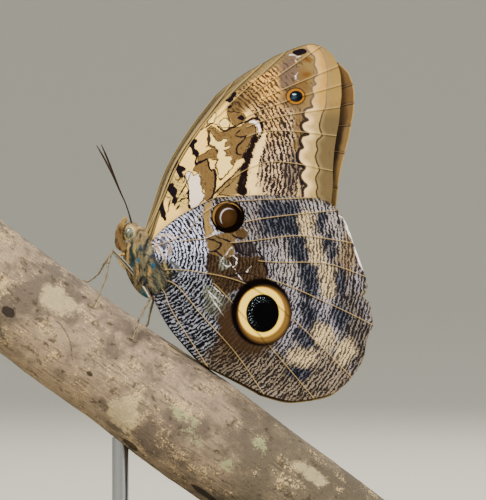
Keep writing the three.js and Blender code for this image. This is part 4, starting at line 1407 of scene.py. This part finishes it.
def tufts(name, roots, normals, lies, shape, uv_of, paint_of, seed, material):
    """A coat of small bent blades of hair, each a thin closed wedge that tapers to a point.

    `shape` is their length, width and how far they lift off.
    """
    length, width, lift = shape
    rng = np.random.default_rng(seed)
    count = len(roots)
    normals = normals / np.linalg.norm(normals, axis=1)[:, None]
    flow = lies - np.sum(lies * normals, axis=1)[:, None] * normals
    flow += 0.22 * rng.normal(size=flow.shape)
    flow -= np.sum(flow * normals, axis=1)[:, None] * normals
    flow /= np.linalg.norm(flow, axis=1)[:, None] + 1e-9
    across = np.cross(normals, flow)
    size = rng.uniform(0.65, 1.2, (count, 1))
    reach = size * np.asarray(length).reshape(-1, 1)
    half = 0.5 * np.asarray(width).reshape(-1, 1) * rng.uniform(0.8, 1.2, (count, 1))
    lift = np.asarray(lift).reshape(-1, 1) * rng.uniform(0.6, 1.5, (count, 1))
    sunk = roots - 0.12 * normals
    rings = []
    for step in range(TUFT_STEPS):
        t = step / TUFT_STEPS
        centre = sunk + flow * reach * t + normals * (reach * lift * (t - 0.55 * t * t) * 2 + 0.1 * t)
        wide = half * (1 - 0.75 * t**1.5)
        corners = [centre - across * wide, centre + normals * wide * 0.7, centre + across * wide]
        rings.append(np.stack(corners, 1))
    tip = sunk + flow * reach + normals * (reach * lift * 0.9 + 0.1)
    points = np.concatenate([np.concatenate(rings, axis=1), tip[:, None]], axis=1)
    per = 3 * TUFT_STEPS + 1
    faces = []
    for step in range(TUFT_STEPS - 1):
        for j in range(3):
            k = (j + 1) % 3
            low, high = 3 * step, 3 * (step + 1)
            if j < 2:
                faces += [(low + j, low + k, high + k), (low + j, high + k, high + j)]
            else:
                faces += [(low + j, low + k, high + j), (high + j, low + k, high + k)]
    top = 3 * (TUFT_STEPS - 1)
    faces += [(top + j, top + (j + 1) % 3, per - 1) for j in range(3)]
    faces = np.array(faces)
    every = (faces[None] + (np.arange(count) * per)[:, None, None]).reshape(-1, 3)
    mesh = bpy.data.meshes.new(name)
    mesh.vertices.add(count * per)
    mesh.vertices.foreach_set("co", (points.reshape(-1, 3) * MM).astype(np.float32).ravel())
    mesh.loops.add(len(every) * 3)
    mesh.loops.foreach_set("vertex_index", every.astype(np.int32).ravel())
    mesh.polygons.add(len(every))
    mesh.polygons.foreach_set("loop_start", np.arange(0, len(every) * 3, 3, dtype=np.int32))
    mesh.update(calc_edges=True)
    mesh.validate()
    o = link(name, mesh)
    patch = TUFT_PATCH * np.array([(0.0, 0.0), (1.0, 0.0), (0.5, 1.0)])
    corner = patch[np.tile(np.arange(3), TUFT_STEPS + 1)[:per]]
    places = uv_of(roots)[:, None] + corner[None]
    set_uv(o, "OFBake", places.reshape(-1, 2))
    colours = paint_of(roots + 0.45 * flow * reach) * rng.uniform(0.8, 1.2, (count, 1))
    set_colour(o, "paint", np.repeat(colours, per, axis=0))
    smooth_shade(o)
    return settle(o, name, material)


def scatter(skin, count, seed, keep=None):
    """Random places over a skin, with its normals there."""
    rng = np.random.default_rng(seed)
    mesh = skin.data
    mesh.calc_loop_triangles()
    corners = np.empty(len(mesh.loop_triangles) * 3, np.int32)
    mesh.loop_triangles.foreach_get("vertices", corners)
    corners = corners.reshape(-1, 3)
    p, n = points_of(skin), normals_of(skin)
    a, b, c = (p[corners[:, i]] for i in range(3))
    area = np.linalg.norm(np.cross(b - a, c - a), axis=1)
    if keep is not None:
        area = area * keep((a + b + c) / 3)
    pick = rng.choice(len(area), count, p=area / area.sum())
    u, v = rng.random(count), rng.random(count)
    flip = u + v > 1
    u, v = np.where(flip, 1 - u, u)[:, None], np.where(flip, 1 - v, v)[:, None]
    chosen = corners[pick]
    place = p[chosen[:, 0]] * (1 - u - v) + p[chosen[:, 1]] * u + p[chosen[:, 2]] * v
    normal = n[chosen[:, 0]] * (1 - u - v) + n[chosen[:, 1]] * u + n[chosen[:, 2]] * v
    return place, normal


def around_body(low, high, axis, origin):
    """An unwrap of a body part: along its axis, and round it."""
    axis = np.array(axis, float) / np.linalg.norm(axis)
    side = np.array([0, 1.0, 0])
    up = np.cross(axis, side)

    def places(p):
        d = p - origin
        along = (d @ axis - low) / (high - low)
        turn = np.arctan2(d @ side, d @ up) / (2 * math.pi) + 0.5
        return np.stack([0.02 + 0.95 * np.clip(along, 0, 1), 0.02 + 0.95 * turn], 1)

    return places


def clear_of_wings(p):
    """False where the wings' roots cover the thorax's back and flanks."""
    hinge = from_hinge(*on_thorax(-5.6, 2.5))
    rear = from_hinge(*on_thorax(-1, 1.8))
    d, _ = path_distance(p[:, ::2], np.array([hinge[::2], rear[::2]]))
    return (d > 1.2) | (np.abs(p[:, 1]) < 1.2)


FACE_ABOVE = 118.5


def make_coat(skin, material):
    """The body's coat, in pieces that each cover their own part of the skin."""
    tail_root = from_hinge(*ABDOMEN["start"])
    tilt = math.radians(THORAX["tilt"])
    thorax_axis = (math.cos(tilt), 0, -math.sin(tilt))

    def down_abdomen(p):
        return (p - tail_root) @ abdomen_axis()

    def head_part(p):
        return (p[:, 2] > FACE_ABOVE) & ~near_eyes(p)

    def thorax_part(p):
        on_rear = (down_abdomen(p) > 2.2) & (p[:, 0] > 0.5)
        return (p[:, 2] <= FACE_ABOVE) & ~on_rear & clear_of_wings(p) & ~near_eyes(p)

    def abdomen_part(p):
        return (down_abdomen(p) > 1.6) & (p[:, 0] > 0)

    head_unwrap = around_body(-4, 4, (0, 0, 1), from_hinge(*HEAD["centre"]))
    thorax_unwrap = around_body(-12, 12, thorax_axis, from_hinge(*THORAX["centre"]))
    abdomen_unwrap = around_body(-4, 29, abdomen_axis(), tail_root)
    thorax_hair = (1.15, 0.16, 0.22)
    parts = (
        ("head_fur", head_part, 6500, (0.65, 0.13, 0.3), head_unwrap),
        ("thorax_fur_left", lambda p: thorax_part(p) & (p[:, 1] < 0), 12000, thorax_hair, thorax_unwrap),
        ("thorax_fur_right", lambda p: thorax_part(p) & (p[:, 1] >= 0), 12000, thorax_hair, thorax_unwrap),
        ("abdomen_fur", abdomen_part, 9000, (1.0, 0.17, 0.12), abdomen_unwrap),
    )
    for i, (name, keep, count, shape, unwrap) in enumerate(parts):
        roots, normals = scatter(skin, count, SEED + 20 + i, keep)
        tufts(name, roots, normals, body_lie(roots), shape, unwrap, body_paint, SEED + 30 + i,
              material)


BASE_HAIR = [(145, 254), (152, 255), (159, 261), (165, 269), (167, 278), (162, 288), (154, 292), (147, 284)]


def make_base_hair(material):
    """Hair from the thorax that lies over the base of each hindwing."""
    rng = np.random.default_rng(SEED + 90)
    box = plane([(144, 300), (176, 254)])
    places = rng.uniform(box[0], box[1], (4200, 2))
    depth = -outline_distance(places, BASE_HAIR)
    places = places[depth > 1.6 * rng.random(len(places))][:1500]
    root = on_thorax(HINDWING["root_along"][0], HINDWING["root_dorsal"][0])
    out = sheet_side(HIND_LAYER, places, np.linalg.norm(places - root, axis=1))
    for hand, side in HANDS:
        roots = np.stack([places[:, 0] + HINGE[0], side * (out + 0.22), places[:, 1] + HINGE[1]], 1)
        normals = np.tile((0.0, side, 0.0), (len(roots), 1))
        lies = np.tile((0.75, 0.0, -0.65), (len(roots), 1))
        unwrap = around_body(-6, 22, (0.75, 0, -0.65), from_hinge(0, 0))
        tufts(f"wing_base_hair_{hand}", roots, normals, lies, (1.6, 0.14, 0.14), unwrap, body_paint,
              SEED + 91, material)


EYE_CLEARANCE = 1.16


def near_eyes(p):
    """True close to either eye."""
    a = math.radians(EYE["tilt"])
    centre = from_hinge(*EYE["centre"])
    d = p - centre
    d[:, 1] = np.abs(p[:, 1]) - EYE["side"]
    u = d[:, 0] * math.cos(a) - d[:, 2] * math.sin(a)
    w = d[:, 0] * math.sin(a) + d[:, 2] * math.cos(a)
    semi = np.array(EYE["semi"]) * EYE_CLEARANCE + 0.1
    return (u / semi[0]) ** 2 + (d[:, 1] / semi[1]) ** 2 + (w / semi[2]) ** 2 < 1


def eye_material():
    """A mottled, glossy compound eye: dark streaks on grey-green, with pale arcs behind."""
    s = Shader("eye_surface", roughness=0.25, specular=0.5, Coat_Weight=0.4, Coat_Roughness=0.15)
    millimetres = s.millimetres()
    x, _, z = s.split(millimetres)
    middle = from_hinge(*EYE["centre"])
    a = math.radians(EYE["tilt"])
    dx, dz = x - float(middle[0]), z - float(middle[2])
    across = (dx * math.cos(a) - dz * math.sin(a)) / EYE["semi"][0]
    along = (dx * math.sin(a) + dz * math.cos(a)) / EYE["semi"][2]
    radius = (across * across + along * along) ** 0.5
    fleck = s.noise(millimetres, 3.2, 3.0, 0.7)
    streak = s.noise(s.stretch(millimetres, (2.6, 1, 0.9), (0, 0.7, 0)), 1.0, 2.0, 0.6)
    colour = s.mix(seen(158, 158, 134), seen(52, 48, 38), (streak + (fleck - 0.5) * 0.5).ramp(0.46, 0.54))
    colour = s.mix(colour, seen(196, 192, 166), fleck.ramp(0.58, 0.68) * 0.6)
    behind = (across + 0.35 * along).ramp(-0.2, 0.35)
    ring = radius + (fleck - 0.5) * 0.06
    colour = s.mix(colour, seen(58, 52, 42), (ring - 0.7).abs().ramp(0.07, 0.03) * 0.85)
    colour = s.mix(colour, seen(222, 218, 204), (ring - 0.81).abs().ramp(0.07, 0.03) * behind)
    colour = s.mix(colour, seen(66, 60, 52), ring.ramp(0.86, 0.92) * 0.85)
    facets = s.cells(millimetres, 9.0, randomness=0.25)
    return s.finish(colour, s.bump(facets, 0.00004, 0.5))


def make_eyes():
    """Each eye is a ball with a pale rim of scales that is open in front."""
    glassy = eye_material()
    rim = Shader("eye_rim_surface", roughness=0.7).finish(seen(206, 188, 154))
    a = math.radians(EYE["tilt"])
    for hand, side in HANDS:
        centre = from_hinge(*EYE["centre"], side * EYE["side"])
        semi = np.array(EYE["semi"])
        eye = ellipsoid("eye", centre, semi, EYE["tilt"], 64, 40)
        settle(eye, f"eye_{hand}_ball", glassy, [f"eye_{hand}"])
        turn = np.linspace(math.radians(-140), math.radians(170), 60)
        out = 0.42
        spread = math.sqrt(1 - out**2) * 1.03
        u, w = semi[0] * spread * np.cos(turn), semi[2] * spread * np.sin(turn)
        ring = np.stack([u * math.cos(a) + w * math.sin(a), np.full(60, side * semi[1] * out),
                         -u * math.sin(a) + w * math.cos(a)], 1)
        lid = tube("eye_rim", centre + ring, (0.05, 0.16, 0.2, 0.17, 0.05), 8)
        settle(lid, f"eye_{hand}_rim", rim)


def limb_material(name, pale, dark, scale, stripes=False):
    """Mottled scales or chitin, with stripes along the limb where they are asked for."""
    s = Shader(name, roughness=0.6, specular=0.08)
    millimetres = s.millimetres()
    mottle = s.noise(millimetres, scale, 3.0, 0.6)
    fine = s.noise(millimetres, 7.0, 2.0)
    colour = s.mix(seen(*pale), seen(*dark), mottle.ramp(0.5, 0.66))
    if stripes:
        wave = (s.attribute("turn") * (8 * math.pi)).sin() + (fine - 0.5) * 0.8
        colour = s.mix(colour, seen(66, 62, 62), wave.ramp(0.2, 0.6) * 0.8)
        colour = s.mix(colour, seen(204, 200, 192), wave.ramp(-0.4, -0.8) * 0.8)
    return s.finish(s.tint(colour, 0.8 + fine * 0.4), s.bump(fine, 0.00006, 0.5))


def ball(name, centre, radius):
    return ellipsoid(name, centre, (radius, radius, radius), 0, 16, 10)


def spines(line, count, length, seed):
    """Short spines along a limb."""
    rng = np.random.default_rng(seed)
    made = []
    for share in np.linspace(0.2, 0.95, count):
        i = int(share * (len(line) - 2))
        tangent = line[i + 1] - line[i]
        tangent /= np.linalg.norm(tangent)
        out = rng.normal(size=3)
        out -= (out @ tangent) * tangent
        out /= np.linalg.norm(out)
        root = line[i] + out * 0.2
        bend = root + (out + tangent * 0.9) * length * 0.5
        tip = root + (out * 1.3 + tangent * 2) * length * 0.6
        made.append(tube("spine", np.array([root, bend, tip]), (0.06, 0.045, 0.015), 5))
    return made


def make_leg(number, name, leg, plain, striped):
    """A walking leg: its femur, its tibia with spines, and its tarsus with two claws on the bark."""
    *joints, (s, degrees) = leg
    body, knee, ankle = (from_hinge(x, z, y) for x, z, y in joints)
    toe, rest = on_branch(s, degrees, 0.42), on_branch(s + 1.2, degrees * 0.97, 0.95)
    femur = spline([body, (body + knee) / 2 + (0, 0, 0.25), knee], 30)
    thigh = tube("femur", femur, (0.55, 0.66, 0.62, 0.5, 0.4), 24)
    settle(thigh, f"{name}_femur_limb", striped, [f"{name}_femur"])
    tibia = spline([knee, (knee + ankle) / 2 + (-0.15, 0, 0.1), ankle], 34)
    parts = [tube("tibia", tibia, (0.34, 0.4, 0.36, 0.3, 0.34), 12), ball("knee", knee, 0.44)]
    parts += spines(tibia, 9, 0.8, SEED + 40 + number)
    settle(join(parts), f"{name}_tibia_limb", plain, [f"{name}_tibia"])
    tarsus = spline([ankle, rest, toe], 40)
    rings = 0.27 + 0.05 * np.abs(np.sin(np.linspace(0, 5 * math.pi, 40)))
    parts = [tube("tarsus", tarsus, rings, 10), ball("ankle", ankle, 0.34)]
    parts += spines(tarsus, 8, 0.5, SEED + 50 + number)
    heading = toe - rest
    heading /= np.linalg.norm(heading)
    across = np.cross(heading, BRANCH_UP)
    for hook in (-1, 1):
        bend = toe + heading * 0.4 + across * hook * 0.28
        tip = toe + heading * 0.75 + across * hook * 0.3
        parts.append(tube("claw", spline([toe, bend, tip], 8), (0.1, 0.08, 0.03), 6))
    settle(join(parts), f"{name}_tarsus_limb", plain, [f"{name}_tarsus"])


def make_legs():
    plain = limb_material("leg_surface", (174, 160, 138), (108, 92, 74), 1.2)
    striped = limb_material("femur_surface", (160, 148, 132), (116, 100, 82), 1.2, True)
    for number, (name, leg) in enumerate(LEGS.items()):
        make_leg(number, name, leg, plain, striped)
    tinted = limb_material("foreleg_surface", (204, 180, 140), (146, 122, 90), 1.4)
    for hand, side in HANDS:
        line = path3(FORELEG["path"], side * FORELEG["side"], 40)
        folded = tube("foreleg", line, FORELEG["radii"], 12)
        settle(folded, f"foreleg_{hand}_limb", tinted, [f"foreleg_{hand}"])


def make_palps(coat):
    """The palps, with hair that points forward and down below and lies along them above."""
    skin = body_material("palp_surface", 0.85)
    for hand, side in HANDS:
        line = path3(PALP["path"], side * PALP["side"], 50)
        palp = tube("palp", line, PALP["radii"], 18, ((0, 1, 0), 0.7))
        roots, normals = scatter(palp, 4200, SEED + 60)
        forward = np.gradient(line, axis=0)
        forward /= np.linalg.norm(forward, axis=1)[:, None]
        nearest = np.argmin(np.linalg.norm(roots[:, None] - line[None], axis=2), axis=1)
        low = ramp(nearest / len(line), 0.85, 0.4)[:, None]
        lies = forward[nearest] * (1 - low) + np.array([-0.75, 0, -0.6]) * low
        set_colour(palp, "paint", palp_paint(points_of(palp)))
        settle(palp, f"palp_{hand}_stem", skin, [f"palp_{hand}"])
        unwrap = around_body(-1, 10, (0, 0, 1), from_hinge(*PALP["path"][0], side * PALP["side"]))
        tufts(f"palp_{hand}_fur", roots, normals, lies, (0.95, 0.13, 0.35), unwrap, palp_paint, SEED + 62,
              coat)


def make_proboscis():
    """The coiled proboscis between the palps."""
    thickness = PROBOSCIS["thickness"]
    turn = np.linspace(0, PROBOSCIS["turns"] * 2 * math.pi, 120)
    radius = PROBOSCIS["radius"] * (1 - 0.8 * turn / turn[-1]) - thickness * 0.5
    spiral = np.stack([radius * np.cos(turn), 0 * turn, radius * np.sin(turn)], 1)
    brown = limb_material("proboscis_surface", (74, 50, 34), (40, 28, 22), 2.0)
    coil = tube("coil", from_hinge(*PROBOSCIS["centre"]) + spiral, (thickness, thickness * 0.7), 10)
    settle(coil, "proboscis_coil", brown, ["proboscis"])


def make_antennae():
    """Two ringed feelers that swell to a club."""
    chitin = limb_material("antenna_surface", (66, 34, 20), (36, 20, 14), 1.5)
    count, rings = 240, 42
    shares = np.linspace(0, 1, len(ANTENNA["radii"]))
    radii = np.interp(np.linspace(0, 1, count), shares, ANTENNA["radii"])
    ringed = radii * (1 + 0.12 * np.sin(np.linspace(0, rings * 2 * math.pi, count)))
    last = len(ANTENNA["path"]) - 1
    for hand, side in HANDS:
        lean = ANTENNA["lean"][hand]
        path = [(x - lean * (i / last) ** 2, z) for i, (x, z) in enumerate(ANTENNA["path"])]
        line = path3(path, [side * y for y in ANTENNA["side"]], count)
        parts = [tube("antenna", line, ringed, 12), ball("socket", line[0], 0.5)]
        settle(join(parts), f"antenna_{hand}_shaft", chitin, [f"antenna_{hand}"])


# Branch and stand


def bark_material():
    """Grey-brown bark with lichen, pale patches, dark stains, a dark line and a thin strip."""
    s = Shader("bark_surface", roughness=0.9)
    uv = s.uv("bark")
    position = s.millimetres()
    broad = s.noise(position, 0.045, 4.0, 0.6)
    medium = s.noise(position, 0.16, 4.0, 0.65)
    grain = s.noise(s.stretch(uv, (0.16, 1.2, 1)), 1.0, 4.0, 0.7)
    fine = s.noise(position, 1.6, 3.0, 0.7)
    colour = s.mix(seen(152, 134, 118), seen(192, 176, 162), (broad + (medium - 0.5) * 0.7).ramp(0.38, 0.6))
    colour = s.mix(colour, seen(134, 119, 96), s.attribute("low") * (0.45 + medium * 0.6))
    colour = s.mix(colour, seen(118, 108, 92), (grain + (medium - 0.5) * 0.6).ramp(0.5, 0.66) * 0.75)
    colour = s.mix(colour, seen(214, 200, 182), (fine + (medium - 0.5) * 1.1).ramp(0.6, 0.72) * 0.7)
    pocks = s.noise(position, 0.34, 3.0, 0.6) + (fine - 0.5) * 0.45
    colour = s.mix(colour, seen(84, 68, 52), pocks.ramp(0.6, 0.68) * 0.7)
    lichen = s.attribute("lichen") + (medium - 0.5) * 2.4 + (fine - 0.5) * 1.2
    colour = s.mix(colour, seen(190, 187, 160), lichen.ramp(0.75, 0.95) * 0.75)
    pale = s.attribute("pale") + (medium - 0.5) * 1.8 + (fine - 0.5) * 0.6
    colour = s.mix(colour, seen(210, 200, 184), pale.ramp(0.5, 0.9) * 0.6)
    # Darker where the stains and the dark line lie.
    dark_mark = s.attribute("dark_mark") + (fine - 0.5) * 0.5
    colour = s.mix(colour, seen(52, 42, 36), dark_mark.ramp(0.5, 0.66) * 0.85)
    strip = s.attribute("strip") + (fine - 0.5) * 0.4
    colour = s.mix(colour, seen(96, 92, 54), strip.ramp(0.5, 0.7) * 0.8)
    pits = s.cells(position, 0.55)
    relief = medium * 0.5 + grain * 0.5 + fine * 0.25
    normal = s.bump(relief, 0.0011, 0.6, s.bump(pits.ramp(0.0, 0.35), 0.0003, 0.4))
    return s.finish(s.tint(colour, 0.82 + fine * 0.36), normal)


def cut_material():
    """The sawn ends of the branch: pale wood with its year rings and a thin dark bark."""
    s = Shader("cut_wood", roughness=0.85)
    position = s.millimetres()
    off = s.vector("SUBTRACT", position, tuple(BRANCH_MIDDLE))
    turned = s.vector("CROSS_PRODUCT", off, tuple(BRANCH_AXIS))
    radius = s.value("ShaderNodeVectorMath", {"operation": "LENGTH"}, [turned], 1)
    grain = s.noise(position, 0.25, 3.0, 0.6)
    fine = s.noise(position, 1.8, 3.0, 0.7)
    rings = ((radius + grain * 2.2) * (2 * math.pi / 1.5)).sin() + (fine - 0.5) * 0.8
    colour = s.mix(seen(196, 172, 132), seen(160, 130, 92), rings.ramp(0.1, 0.9) * 0.7)
    colour = s.mix(colour, seen(118, 92, 64), radius.ramp(2.2, 0.8) * 0.7)
    colour = s.mix(colour, seen(92, 74, 58), (radius + grain).ramp(15.2, 15.8))
    return s.finish(s.tint(colour, 0.84 + fine * 0.32), s.bump(rings, 0.0001, 0.4))


def from_photo_on_branch(pixels):
    """Where pixels of the photograph fall on the near side of the branch: along it, and degrees round."""
    p = plane(pixels) + HINGE
    d = np.stack([p[:, 0], np.zeros(len(p)), p[:, 1]], 1) - BRANCH_MIDDLE
    s, up = d @ BRANCH_AXIS, d @ BRANCH_UP
    return s, -np.degrees(np.arccos(np.clip(up / branch_radius(s), -1, 1)))


LICHEN = [((192, 430), (24, 16)), ((260, 445), (16, 14)), ((230, 462), (14, 10)), ((176, 412), (12, 8))]
PALE_BARK = [((122, 412), (22, 26)), ((60, 300), (30, 20)), ((150, 470), (20, 12)), ((310, 470), (26, 12))]
STAINS = [((12, 311), (9, 6)), ((131, 444), (11, 8)), ((205, 492), (20, 6)), ((92, 372), (4, 3))]
# A dark line on the near side of the bark, darkened together with the stains.
DARK_LINE = [(60, 320), (67, 328), (73, 341), (75, 358)]
BARK_STRIP = [(170, 345), (196, 361), (232, 384), (270, 410)]


# The bark's relief: how broad each layer's bumps are, and how deep.
BARK_RELIEF = ((9.0, 0.14), (3.0, 0.07), (1.4, 0.04))


def make_branch():
    """The cut length of branch: rough bark with its spots and lines, and two sawn ends."""
    around, along = 260, 330
    s = np.linspace(-BRANCH["upper"], BRANCH["lower"], along)
    degrees = np.linspace(0, 360, around, endpoint=False)
    place_s, place_d = (g.ravel() for g in np.meshgrid(s, degrees, indexing="ij"))
    arc = np.radians(place_d) * BRANCH["radius"]
    rough = sum(sheet_noise(place_s, place_d, scale, SEED + 70 + i) * depth
                for i, (scale, depth) in enumerate(BARK_RELIEF))
    points = on_branch(place_s, place_d, rough - 0.12)
    ends = [list(range(around))[::-1], list(range((along - 1) * around, along * around))]
    o = new_mesh("branch_bark", (points * MM).tolist(), tube_faces(along, around) + ends)
    outward(o)
    set_uv(o, "bark", np.stack([place_s, arc], 1))
    signed = np.where(place_d > 180, place_d - 360, place_d)

    def spot_on(centre, size):
        s0, d0 = (v[0] for v in from_photo_on_branch([centre]))
        u = (place_s - s0) / (size[0] * MM_PER_PIXEL)
        v = (signed - d0) * math.radians(1) * BRANCH["radius"] / (size[1] * MM_PER_PIXEL)
        return 1 - ramp(np.hypot(u, v), 0.3, 1.5)

    def line_on(pixels, width):
        s0, d0 = from_photo_on_branch(pixels)
        path = spline(np.stack([s0, np.radians(d0) * BRANCH["radius"]], 1), 40)
        gap, _ = path_distance(np.stack([place_s, np.radians(signed) * BRANCH["radius"]], 1), path)
        return 1 - ramp(gap, width * 0.3, width * 1.4)

    set_number(o, "lichen", np.max([spot_on(*spot) for spot in LICHEN], axis=0))
    set_number(o, "pale", np.max([spot_on(*spot) for spot in PALE_BARK], axis=0))
    # The stains and the dark line, as one mask that darkens the bark.
    dark_marks = [spot_on(*spot) for spot in STAINS] + [0.8 * line_on(DARK_LINE, 0.35)]
    set_number(o, "dark_mark", np.max(dark_marks, axis=0))
    set_number(o, "strip", line_on(BARK_STRIP, 1.0))
    set_number(o, "low", ramp(place_s, 5, 50))
    smooth_shade(o, 40)
    settle(o, "branch_bark", [bark_material(), cut_material()], ["branch"])
    for sawn in list(o.data.polygons)[-2:]:
        sawn.material_index = 1


def sheet_noise(s, degrees, scale, seed):
    """Noise over the branch that closes round it."""
    a = np.radians(degrees)
    r = BRANCH["radius"]
    one = lattice_noise(np.stack([s + 500, r * np.cos(a) + 500], 1), scale, seed)
    two = lattice_noise(np.stack([s + 500, r * np.sin(a) + 500], 1), scale, seed + 100)
    return (one + two) * 0.7


def make_base():
    """The stand's flat base, with round corners and a small bevel."""
    s = Shader("base_surface", roughness=0.75, specular=0.2)
    fine = s.noise(s.millimetres(), 0.8, 3.0, 0.6)
    matte = s.finish(s.tint(seen(44, 44, 47), 0.85 + fine * 0.3), s.bump(fine, 0.00005, 0.3))
    bpy.ops.mesh.primitive_cube_add(size=1 * MM)
    base = active()
    size = np.array([STAND["width"], STAND["depth"], STAND["thickness"]])
    place_points(base, points_of(base) * size + (0, 0, STAND["thickness"] / 2))
    only(base)
    bpy.ops.object.mode_set(mode="EDIT")
    bpy.ops.mesh.select_mode(type="EDGE")
    bpy.ops.mesh.select_all(action="DESELECT")
    bpy.ops.object.mode_set(mode="OBJECT")
    for edge in base.data.edges:
        a, b = (base.data.vertices[i].co for i in edge.vertices)
        edge.select = abs(a.z - b.z) > STAND["thickness"] / 2 * MM
    bpy.ops.object.mode_set(mode="EDIT")
    bpy.ops.mesh.bevel(offset=STAND["corner"] * MM, segments=12, affect="EDGES")
    bpy.ops.object.mode_set(mode="OBJECT")
    apply_modifier(base, "BEVEL", width=STAND["bevel"] * MM, segments=3, limit_method="ANGLE")
    smooth_shade(base, 14)
    settle(base, "stand_base_plate", matte, ["stand_base"])


def make_rods():
    """The two steel rods, cut to the slope of the branch's underside and let 1 mm into it."""
    steel = Shader("rod_surface", roughness=0.28, specular=0.5, Metallic=1.0).finish(seen(196, 197, 200))
    for i, x in enumerate(STAND["rods"], 1):
        low, high = (corner[2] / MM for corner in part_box(f"stand_rod_{i}"))
        bpy.ops.mesh.primitive_cylinder_add(vertices=48, radius=STAND["rod_radius"] * MM,
                                            depth=(high - low) * MM,
                                            location=(x * MM, 0, (high + low) / 2 * MM))
        rod = active()
        freeze(rod)
        p = points_of(rod)
        top = p[:, 2] > (low + high) / 2
        under = BRANCH_MIDDLE[2] - p[:, 0] * math.tan(SLOPE) - branch_underside(p[:, 1])
        p[top, 2] = np.minimum(p[top, 2], under[top] + 1.0)
        place_points(rod, p)
        smooth_shade(rod, 30)
        settle(rod, f"stand_rod_{i}_steel", steel, [f"stand_rod_{i}"])


def branch_underside(y):
    """How far below the branch's axis its underside is, straight down, at a distance sideways."""
    return np.sqrt(BRANCH["radius"] ** 2 - y**2) / math.cos(SLOPE)


# Room, light and camera

CAMERA = {"middle": (25.8, 117.0), "distance": 1000.0, "height": 150.0}
# Metres: how far out each ring of the floor is, and how high it has risen there.
FLOOR = [(0.3, 0), (0.8, 0), (1.6, 0), (2.6, 0.05), (3.2, 0.2), (3.8, 0.55), (4.3, 1.1), (4.7, 1.9),
         (4.9, 2.7), (5.0, 3.6)]
LIGHTS_AIM = (0.015, 0, 0.11)


def make_stage():
    """A pale floor that rises smoothly far away, so that no edge of it shows from any side."""
    around = 96
    turn = np.linspace(0, 2 * math.pi, around, endpoint=False)
    points = [(0.0, 0.0, 0.0)]
    for r, h in FLOOR:
        points += [(r * math.cos(t), r * math.sin(t), h) for t in turn]
    faces = [(0, 1 + j, 1 + (j + 1) % around) for j in range(around)]
    for i in range(len(FLOOR) - 1):
        a, b = 1 + i * around, 1 + (i + 1) * around
        faces += [(a + j, b + j, b + (j + 1) % around, a + (j + 1) % around) for j in range(around)]
    floor = new_mesh("floor", points, faces)
    smooth_shade(floor)
    s = Shader("floor_surface", roughness=0.8, specular=0.5)
    floor.data.materials.append(s.finish(seen(205, 203, 198)))


def area_light(name, place, size, power, tint):
    """A square light at a place in metres, turned to the butterfly."""
    data = bpy.data.lights.new(name, "AREA")
    data.size, data.energy, data.color = size, power, tint
    light = link(name, data)
    light.location = place
    aim = Vector(LIGHTS_AIM) - light.location
    light.rotation_euler = aim.to_track_quat("-Z", "Y").to_euler()


def make_light():
    world = bpy.data.worlds.new("room")
    bpy.context.scene.world = world
    world.use_nodes = True
    world.node_tree.nodes["Background"].inputs[0].default_value = (0.94, 0.97, 1.0, 1)
    world.node_tree.nodes["Background"].inputs[1].default_value = 1.18
    area_light("key", (-0.55, -0.75, 0.95), 0.4, 35, (1.0, 0.96, 0.9))
    area_light("fill", (0.9, -0.6, 0.5), 0.8, 10.5, (0.95, 0.98, 1.0))
    area_light("back", (0.2, 0.9, 0.8), 0.5, 10.5, (1.0, 0.97, 0.92))


def make_camera():
    data = bpy.data.cameras.new("camera")
    data.sensor_width = 36
    data.lens = 36 * CAMERA["distance"] / CAMERA["height"]
    data.clip_start, data.clip_end = 0.05, 20
    camera = link("camera", data)
    x, z = CAMERA["middle"]
    camera.location = Vector((x, -CAMERA["distance"], z)) * MM
    camera.rotation_euler = (math.pi / 2, 0, 0)
    bpy.context.scene.camera = camera


make_stage()
make_light()
make_camera()
make_wings()
coat = body_material("body_hair", 0.8)
skin = make_skin(body_material("body_skin_surface", 0.85))
make_coat(skin, coat)
make_base_hair(coat)
make_eyes()
make_palps(coat)
make_proboscis()
make_antennae()
make_legs()
make_branch()
make_base()
make_rods()
